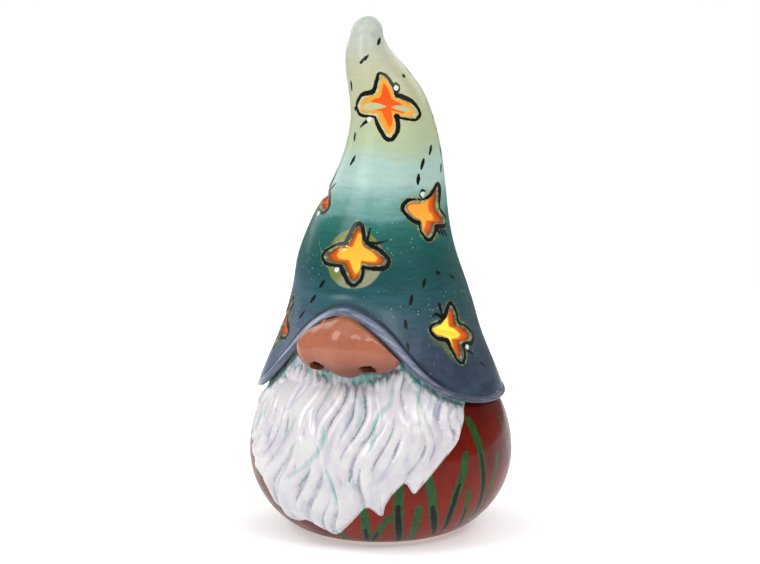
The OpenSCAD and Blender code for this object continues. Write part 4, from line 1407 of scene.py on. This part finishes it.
    def _locks(self) -> list[Lock]:
        """Comb the locks from the roots under the nose down to the tips."""
        rng = np.random.default_rng(self.seed)
        roots, tips = np.array(self.roots), np.array(self.tips)
        heights = np.array(self.tip_heights)
        locks = []
        lines = 27
        for k in range(lines):
            p = (k + 0.5) / lines
            start = np.array([np.interp(p, np.linspace(0, 1, len(roots)), roots[:, 0]),
                              np.interp(p, np.linspace(0, 1, len(roots)), roots[:, 1])])
            end = np.array([np.interp(p, tips[:, 0], tips[:, 1]), np.interp(p, heights[:, 0], heights[:, 1])])
            t = np.linspace(0, 1, 41)
            fall = t ** 1.05
            a = start[0] + (end[0] - start[0]) * (0.25 * t + 0.75 * t ** 1.6)
            z = start[1] + (end[1] - start[1]) * fall
            u, v = self._across(a, z), self._down(z)
            wave = 3.7 * np.sin(2 * math.pi
                                * (1.5 * t + 0.55 * math.sin(5.2 * p) + 0.08 * rng.uniform(-1, 1)))
            wave *= np.clip(t * 5, 0, 1) * np.clip((1.02 - t) * 4, 0.15,
                                                   1) * (0.45 + 0.55 * math.sin(math.pi * p))
            line = np.stack([u + wave, v], 1)
            parts = 3
            for j in range(parts):
                middle = (j + 0.5 + rng.uniform(-0.22, 0.22)) / parts
                long = rng.uniform(0.42, 0.68)
                t0, t1 = max(0.0, middle - long / 2), min(1.0, middle + long / 2)
                s = np.linspace(t0, t1, 15)
                shift = rng.uniform(-1.7, 1.7)
                path = np.stack([np.interp(s, t, line[:, 0]) + shift
                                 * np.sin(math.pi * np.linspace(0.1, 0.9, 15)),
                                 np.interp(s, t, line[:, 1])], 1)
                widest = rng.uniform(2.0, 3.5)
                share = np.linspace(0, 1, 15)
                half = widest * (0.25 + 0.75 * np.sin(math.pi * share ** 0.85) ** 0.8)
                locks.append(Lock(path, half, rng.uniform(0.8, 2.0), rng.uniform(1.1, 1.8),
                                  int(rng.integers(1, 3))))
        return locks

    def build(self) -> list[Object]:
        """Comb, trim and glaze the beard.

        Returns:
            The beard.
        """
        cols, rows = self.grid
        a, z = np.meshgrid(np.linspace(-self.half_angle, self.half_angle, cols),
                           np.linspace(self.high, self.low, rows))
        base = self._base(z)
        u, v = self._across(a, z), self._down(z)
        top = np.full_like(u, 0.75)
        for lock in self._locks():
            lock.lay(u, v, top)
        x = base * np.sin(np.radians(a))
        gap = self._outline_gap(x, z)
        soft = top.copy()
        for _ in range(9):
            soft[1:-1, 1:-1] = (soft[1:-1, 1:-1] * 2 + soft[:-2, 1:-1] + soft[2:, 1:-1] + soft[1:-1, :-2]
                                + soft[1:-1, 2:]) / 6
        groove = np.clip((soft - top) / 0.55, 0, 1)
        for _ in range(2):
            top[1:-1, 1:-1] = (top[1:-1, 1:-1] * 5 + top[:-2, 1:-1] + top[2:, 1:-1] + top[1:-1, :-2]
                               + top[1:-1, 2:]) / 9
        edge = ease(-gap, -0.3, 2.6) ** 0.6
        height = top * edge * (self.thickness / 3.4) - 1.3 * ease(gap, -0.4, 1.2)
        hat = self.pot.hat
        brim = hat.edge(a)
        room = hat.inside(a, np.maximum(z, brim)) - 0.9 + np.maximum(0, brim - 0.9 - z) * 1.3
        fill = ease(z - brim, -6.5, -0.5) * ease(-gap, 0.0, 2.0) * self.under_brim
        height = height + fill * np.maximum(room - base - height, 0)
        radius = np.minimum(base + height, room)
        rad = np.radians(a)
        sheet = np.stack([radius * np.sin(rad), -radius * np.cos(rad), z], -1)
        beard = Shop.wrap("beard_relief", sheet, tidy=False)
        co = Shop.corners(beard) / MM
        bearing = np.degrees(np.arctan2(co[:, 0], -co[:, 1]))
        ci = np.clip(np.rint((bearing + self.half_angle) / (2 * self.half_angle) * (cols - 1)), 0,
                     cols - 1).astype(int)
        ri = np.clip(np.rint((self.high - co[:, 2]) / (self.high - self.low) * (rows - 1)), 0,
                     rows - 1).astype(int)
        away = (gap > 1.3) | (z > hat.edge(a) + 3.6)
        drop = away[ri, ci]
        teal = [self._mark(path, 0.95) for path in self.teal]
        lavender = [self._mark(path, 0.9) for path in self.lavender]
        Shop.mark(beard, "teal", laid_on(co, teal, 3.0))
        Shop.mark(beard, "lavender", laid_on(co, lavender, 3.0))
        Shop.mark(beard, "groove", groove[ri, ci])
        under_brim = hat.edge(bearing) - 1.0 - co[:, 2]
        nose_gap = self._nose_gap(co)
        Shop.mark(beard, "roots", np.minimum(np.maximum(under_brim - 1.2, -1) * 1.25, nose_gap))
        self._trim(beard, drop)
        solid = beard.modifiers.new("back", "SOLIDIFY")
        solid.thickness = 1.1 * MM
        solid.offset = -1.0
        Shop.apply(beard)
        Shop.smooth(beard, 60)
        beard.data.materials.clear()
        beard.data.materials.append(self.glaze.mix())
        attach(beard, "pot")
        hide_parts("beard")
        return [beard]

    def _mark(self, path: tuple[tuple[float, float], ...], half: float) -> Stroke:
        """Lay a brush mark on the beard."""
        marks = np.array(path, float)
        t = np.linspace(0, 1, 12)
        a = np.interp(t, np.linspace(0, 1, len(marks)), marks[:, 0])
        z = np.interp(t, np.linspace(0, 1, len(marks)), marks[:, 1])
        r = self._base(z) + 3.2
        points = np.stack([r * np.sin(np.radians(a)), -r * np.cos(np.radians(a)), z], 1)
        return Stroke(points, half * np.sin(math.pi * (0.15 + 0.7 * t)))

    def _nose_gap(self, p: Array) -> Array:
        """Distance from the nose's underside, where the roots are brushed."""
        t = math.radians(self.nose_bearing)
        x = p[:, 0] * math.cos(t) + p[:, 1] * math.sin(t)
        low = 77.0 + 4.5 * (np.abs(x) / 20) ** 2
        near = np.maximum(np.abs(x) - 23, 0)
        return np.maximum(low - p[:, 2], 0) * 0.9 + near - 1.0

    @staticmethod
    def _trim(obj: Object, drop: Array) -> None:
        """Delete the points outside the beard's outline."""
        Shop.take(obj)
        bpy.ops.object.mode_set(mode="EDIT")
        bpy.ops.mesh.select_mode(type="VERT")
        bpy.ops.mesh.select_all(action="DESELECT")
        bpy.ops.object.mode_set(mode="OBJECT")
        obj.data.vertices.foreach_set("select", drop)
        bpy.ops.object.mode_set(mode="EDIT")
        bpy.ops.mesh.delete(type="VERT")
        bpy.ops.mesh.select_all(action="SELECT")
        bpy.ops.mesh.normals_make_consistent(inside=False)
        bpy.ops.object.mode_set(mode="OBJECT")


# --------------------------------------------------------------------------- nose


@dataclass(frozen=True)
class NoseGlaze:
    """Warm brown gloss glaze, with painted shade on its underside and in the nostrils."""

    skin: Colour = paint(178, 108, 82)
    warm: Colour = paint(190, 114, 84)
    # Painted shade: low darkens the nose's underside, dark fills the pressed nostrils.
    low: Colour = paint(104, 54, 42)
    dark: Colour = paint(28, 12, 10)

    def mix(self) -> Material:
        """Mix the glaze.

        Returns:
            The nose's material.
        """
        b = Bench("nose_glaze")
        colour = b.mix(b.fade(b.noise(55, 3), 0.3, 0.7), self.skin, self.warm)
        # Painted shade under the nose, darker towards the bottom.
        under = b.fade(b.height(), 92, 78, 0.0, 0.85)
        colour = b.mix(under, colour, self.low)
        fleck = b.times(b.specks(900, 0.12), b.fade(b.noise(160, 2), 0.5, 0.65))
        colour = b.mix(b.times(fleck, 0.4), colour, paint(225, 190, 170))
        streak = b.noise(1.0, 4, b.stretch((140, 140, 320)), 0.6)
        colour = b.mix(b.fade(streak, 0.5, 0.8, 0.0, 0.3), colour, paint(140, 80, 66))
        # Painted shade: near black in the pressed nostrils.
        colour = b.mix(b.fade(b.read("nostril"), 0.04, 0.3), colour, self.dark)
        b.set(Base_Color=colour, Coat_Weight=0.6, Coat_Roughness=0.03, Specular_IOR_Level=0.1)
        b.set(Roughness=b.fade(b.noise(200, 2), 0.3, 0.7, 0.28, 0.4))
        b.set(Normal=b.bump(b.noise(80, 2), 0.04, 0.0006))
        return b.material


@dataclass
class Nose:
    """The broad nose: a ball, two wings and a bridge, with a nostril under each wing."""

    pot: Pot
    glaze: NoseGlaze = field(default_factory=NoseGlaze)
    bearing: float = 2.0
    ball: float = 13.0
    wing: float = 10.5
    wing_out: float = 13.6
    reach: float = 21.0
    voxel: float = 0.62
    nostril: float = 3.1
    nostril_deep: float = 6.5

    def build(self) -> list[Object]:
        """Model the nose from balls of clay, smooth it, and press the nostrils in.

        Returns:
            The nose.
        """
        hat = self.pot.hat
        z0 = float(hat.edge(np.array(0.0))) + 0.4 - self.ball
        y0 = -(float(self.pot.face_radius(np.array(z0))) + self.reach - self.ball)
        t = math.radians(self.bearing)

        def place(x: float, y: float, z: float) -> tuple[float, float, float]:
            """Turn a point of the nose to its bearing, in metres."""
            return ((x * math.cos(t) - y * math.sin(t)) * MM, (x * math.sin(t) + y * math.cos(t)) * MM,
                    z * MM)

        balls = [(0, y0, z0, self.ball), (0, y0 + 7, z0 - 1, self.ball),
                 (0, y0 + 1.2, z0 - 2.6, self.ball * 0.94)]
        for s in (-1, 1):
            balls.append((s * self.wing_out, y0 + 3, z0 - 2.2, self.wing))
            balls.append((s * 6.8, y0 + 0.8, z0 - 0.6, self.ball * 0.86))
            balls.append((s * 5.5, y0 + 5, z0 + 3.2, self.ball - 3.4))
            balls.append((s * 9.5, y0 + 6, z0 - 1, self.wing))
        pieces = []
        for x, y, z, r in balls:
            Shop.clear_selection()
            bpy.ops.mesh.primitive_uv_sphere_add(segments=48, ring_count=24, radius=r * MM,
                                                 location=place(x, y, z))
            pieces.append(bpy.context.object)
        nose = Shop.join(pieces[0], *pieces[1:])
        nose.name = nose.data.name = "nose_form"
        Shop.take(nose)
        bpy.ops.object.transform_apply(location=True, rotation=True, scale=True)
        nose.data.remesh_voxel_size = self.voxel * MM
        bpy.ops.object.voxel_remesh()
        smooth = nose.modifiers.new("smooth", "SMOOTH")
        smooth.factor, smooth.iterations = 0.5, 60
        Shop.apply(nose)
        self._shape(nose, z0, y0, t)
        Shop.smooth(nose, 60)
        nose.data.materials.clear()
        nose.data.materials.append(self.glaze.mix())
        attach(nose, "pot")
        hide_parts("nose")
        return [nose]

    def _shape(self, nose: Object, z0: float, y0: float, t: float) -> None:
        """Press in the nostrils, seat the back on the face and keep clear of the brim."""
        p = Shop.corners(nose) / MM
        pressed = np.zeros(len(p))
        for s in (-1, 1):
            x, y = (9.6 if s > 0 else -11.6), y0 + 1.6
            centre = np.array([x * math.cos(t) - y * math.sin(t), x * math.sin(t) + y * math.cos(t),
                               z0 - 4.4])
            way = np.array([s * 0.1, -0.76, -0.64])
            way /= np.linalg.norm(way)
            off = p - centre
            along = off @ way
            across = off - along[:, None] * way
            across[:, 0] = 0.85 * across[:, 0] + s * 0.3 * across[:, 2]
            share = np.clip(1 - (np.linalg.norm(across, axis=1) / self.nostril) ** 2, 0, 1)
            share *= along > 2
            p -= way * (self.nostril_deep * share ** 0.55)[:, None]
            pressed = np.maximum(pressed, share)
        mouth = self.pot.form.mouth
        a = np.degrees(np.arctan2(p[:, 0], -p[:, 1]))
        r = np.hypot(p[:, 0], p[:, 1])
        brim = self.pot.hat.edge(a)
        limit = brim - 0.4
        room = self.pot.hat.inside(a, np.maximum(p[:, 2], brim)) - 0.6
        high = (p[:, 2] > limit) & (r > room - 1.5)
        p[high, 2] = limit[high]
        back = self.pot.face_radius(np.maximum(p[:, 2], mouth)) - 1.2
        back = np.where(p[:, 2] < mouth, self.pot.collar - 1.2, back)
        deep = r < back
        p[deep, :2] *= (back[deep] / np.maximum(r[deep], 1e-6))[:, None]
        Shop.move(nose, p * MM)
        Shop.mark(nose, "nostril", pressed)


# --------------------------------------------------------------------------- small parts


class Part(Enum):
    """The carried-over parts and the bench finish that each one takes."""

    TEALIGHT_CUP = "tealight_cup"
    TEALIGHT_FLAME = "tealight_flame"
    LED = "led"
    LED_LEADS = "led_leads"
    CELL_HOLDER = "cell_holder"
    COIN_CELL = "coin_cell"
    CONTACT_POSITIVE = "contact_positive"
    CONTACT_NEGATIVE = "contact_negative"
    BASE_PLATE = "base_plate"
    BATTERY_DOOR = "battery_door"
    SWITCH_KNOB = "switch_knob"
    SWITCH_WIPER = "switch_wiper"
    BASE_FELT = "base_felt"


@dataclass(frozen=True)
class Moulded:
    """Moulded plastic with a faint texture and flow marks."""

    pale: Colour
    dark: Colour
    rough: float = 0.45
    glow: Colour | None = None
    strength: float = 0.0

    def mix(self, name: str) -> Material:
        """Mix the plastic under a name."""
        b = Bench(name)
        colour = b.mix(b.fade(b.noise(120, 4), 0.3, 0.7), self.pale, self.dark)
        grime = b.fade(b.noise(45, 3), 0.55, 0.8, 0.0, 0.25)
        colour = b.mix(grime, colour, self.dark, "MULTIPLY")
        b.set(Base_Color=colour, IOR=1.48)
        b.set(Roughness=b.fade(b.noise(600, 2), 0.3, 0.7, self.rough - 0.06, self.rough + 0.08))
        b.set(Normal=b.bump(b.noise(2600, 2), 0.12, 0.00015))
        if self.glow is not None:
            b.set(Emission_Color=self.glow)
            b.set(Emission_Strength=b.times(b.fade(b.noise(80, 2), 0.2, 0.8, 0.7, 1.1), self.strength))
        return b.material


@dataclass(frozen=True)
class Metal:
    """Sheet metal or wire, brushed along its length."""

    bright: Colour
    dull: Colour
    rough: float = 0.3

    def mix(self, name: str) -> Material:
        """Mix the metal under a name."""
        b = Bench(name)
        grain = b.noise(1.0, 4, b.stretch((300, 4000, 4000)), 0.7)
        b.set(Base_Color=b.mix(b.fade(grain, 0.3, 0.7), self.bright, self.dull), Metallic=1.0)
        b.set(Roughness=b.fade(grain, 0.2, 0.8, self.rough - 0.08, self.rough + 0.12))
        b.set(Normal=b.bump(grain, 0.1, 0.00005))
        return b.material


@dataclass(frozen=True)
class Felt:
    """Pressed wool felt, with fibres and a few pale hairs."""

    wool: Colour = paint(34, 66, 44)
    pale: Colour = paint(70, 104, 74)

    def mix(self, name: str) -> Material:
        """Mix the felt under a name."""
        b = Bench(name)
        fibre = b.noise(1.0, 6, b.stretch((1800, 700, 1800), 0.6), 0.75)
        cross = b.noise(1.0, 6, b.stretch((700, 1900, 1800), 0.4), 0.75)
        nap = b.times(b.plus(fibre, cross), 0.5)
        b.set(Base_Color=b.mix(b.fade(nap, 0.42, 0.66), self.wool, self.pale), Roughness=0.95,
              Sheen_Weight=0.4, Sheen_Roughness=0.5)
        b.set(Normal=b.bump(nap, 0.6, 0.0004))
        return b.material


@dataclass
class SmallParts:
    """The tea light's parts and the felt, whose shapes stay and whose finishes are set."""

    nodes: dict[str, Object]
    ivory: Moulded = Moulded(paint(236, 230, 214), paint(218, 210, 190))
    holder: Moulded = Moulded(paint(222, 220, 212), paint(200, 198, 190), 0.5)
    knob: Moulded = Moulded(paint(62, 62, 64), paint(44, 44, 46), 0.42)
    flame: Moulded = Moulded(paint(255, 196, 92), paint(240, 160, 58), 0.3, paint(255, 170, 66), 1.3)
    lamp: Moulded = Moulded(paint(255, 240, 205), paint(250, 226, 170), 0.12, paint(255, 216, 140), 3.0)
    steel: Metal = Metal(paint(206, 206, 204), paint(170, 170, 168))
    wire: Metal = Metal(paint(200, 200, 198), paint(160, 162, 164), 0.26)
    brass: Metal = Metal(paint(206, 172, 98), paint(178, 140, 76), 0.28)
    felt: Felt = Felt()

    def build(self) -> list[Object]:
        """Give every carried-over part its finish.

        Returns:
            The parts.
        """
        finishes = {
            Part.TEALIGHT_CUP: self.ivory, Part.BASE_PLATE: self.ivory, Part.BATTERY_DOOR: self.ivory,
            Part.CELL_HOLDER: self.holder, Part.SWITCH_KNOB: self.knob, Part.TEALIGHT_FLAME: self.flame,
            Part.LED: self.lamp, Part.COIN_CELL: self.steel, Part.LED_LEADS: self.wire,
            Part.CONTACT_POSITIVE: self.brass, Part.CONTACT_NEGATIVE: self.brass,
            Part.SWITCH_WIPER: self.brass, Part.BASE_FELT: self.felt,
        }
        dressed = []
        for part, finish in finishes.items():
            obj = self.nodes[part.value]
            material = finish.mix(f"{part.value}_finish")
            obj.data.materials.clear()
            obj.data.materials.append(material)
            dressed.append(obj)
        return dressed


# --------------------------------------------------------------------------- studio


@dataclass
class Studio:
    """Pale floor, soft lights and the camera."""

    azimuth: float = 19.5
    elevation: float = 10.0
    distance: float = 1.2
    lens: float = 127.2
    aim_height: float = 0.1114
    floor_size: float = 1.3
    world: float = 0.17
    paper: float = 1.0
    candle: float = 0.2
    softboxes: tuple[tuple[float, float, float, float, float, float], ...] = (
        (-40.0, 36.0, 1.1, 0.5, 0.62, 5.0), (64.0, 40.0, 1.2, 1.1, 0.26, 4.6),
        (-120.0, 25.0, 1.4, 0.7, 1.0, 3.5), (165.0, 30.0, 1.5, 1.2, 1.0, 6.0),
    )
    sky: tuple[float, float, float] = (20.0, 76.0, 0.85)
    sky_spread: float = 70.0

    @staticmethod
    def _direction(azimuth: float, elevation: float) -> Vector:
        """The direction from the object out to a bearing and an elevation."""
        a, e = math.radians(azimuth), math.radians(elevation)
        return Vector((math.sin(a) * math.cos(e), -math.cos(a) * math.cos(e), math.sin(e)))

    def _floor(self) -> Object:
        """Lay the floor."""
        Shop.clear_selection()
        bpy.ops.mesh.primitive_grid_add(x_subdivisions=8, y_subdivisions=8, size=self.floor_size)
        floor = bpy.context.object
        floor.name = "studio_floor"
        b = Bench("floor_paper")
        b.set(Base_Color=b.mix(b.noise(3, 2), (0.92, 0.92, 0.92), (0.95, 0.95, 0.95)), Roughness=0.9,
              Specular_IOR_Level=0.1, Emission_Color=(1.0, 1.0, 1.0), Emission_Strength=0.36)
        floor.data.materials.append(b.material)
        return floor

    def build(self) -> list[Object]:
        """Set up the floor, the lights and the camera.

        Returns:
            The floor.
        """
        scene = bpy.context.scene
        floor = self._floor()
        world = bpy.data.worlds.new("studio")
        world.use_nodes = True
        background = world.node_tree.nodes["Background"]
        background.inputs["Color"].default_value = (1.0, 1.0, 1.0, 1.0)
        tree = world.node_tree
        seen = tree.nodes.new("ShaderNodeLightPath").outputs["Is Camera Ray"]
        level = tree.nodes.new("ShaderNodeMapRange")
        level.inputs["To Min"].default_value = self.world
        level.inputs["To Max"].default_value = self.paper
        tree.links.new(seen, level.inputs["Value"])
        tree.links.new(level.outputs[0], background.inputs["Strength"])
        scene.world = world
        target = Vector((0, 0, self.aim_height))
        for i, (azimuth, elevation, away, wide, tall, watts) in enumerate(self.softboxes):
            data = bpy.data.lights.new(f"softbox_{i}", "AREA")
            data.shape, data.size, data.size_y, data.energy = "RECTANGLE", wide, tall, watts
            light = bpy.data.objects.new(f"softbox_{i}", data)
            scene.collection.objects.link(light)
            out = self._direction(azimuth, elevation)
            light.location = target + out * away
            light.rotation_euler = out.to_track_quat("Z", "Y").to_euler()
        azimuth, elevation, strength = self.sky
        data = bpy.data.lights.new("overhead", "SUN")
        data.energy, data.angle = strength, math.radians(self.sky_spread)
        overhead = bpy.data.objects.new("overhead", data)
        overhead.rotation_euler = self._direction(azimuth, elevation).to_track_quat("Z", "Y").to_euler()
        scene.collection.objects.link(overhead)
        data = bpy.data.lights.new("candle_light", "POINT")
        data.energy, data.shadow_soft_size = self.candle, 0.006
        data.color = (1.0, 0.72, 0.34)
        candle = bpy.data.objects.new("candle_light", data)
        candle.location = (0.0, 0.0, 0.062)
        scene.collection.objects.link(candle)
        data = bpy.data.cameras.new("camera")
        data.lens, data.sensor_width, data.shift_x = self.lens, 36.0, -0.001
        camera = bpy.data.objects.new("camera", data)
        scene.collection.objects.link(camera)
        out = self._direction(self.azimuth, self.elevation)
        camera.location = target + out * self.distance
        camera.rotation_euler = out.to_track_quat("Z", "Y").to_euler()
        scene.camera = camera
        scene.view_settings.view_transform = "Standard"
        return [floor]


def main() -> None:
    """Build the lantern's parts in order and report each one."""
    logging.basicConfig(level=logging.INFO, format="%(name)s: %(message)s")
    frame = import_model()
    pot_form = PotForm()
    hat_form = HatForm(pot_form)
    pot = Pot(pot_form, hat_form)
    makers = (Studio(), pot, Beard(pot), Nose(pot), Hat(hat_form), SmallParts(frame["nodes"]))
    for maker in makers:
        for obj in maker.build():
            LOG.info("%s: %s, %d faces", type(maker).__name__, obj.name, len(obj.data.polygons))


if __name__ == "__main__":
    main()
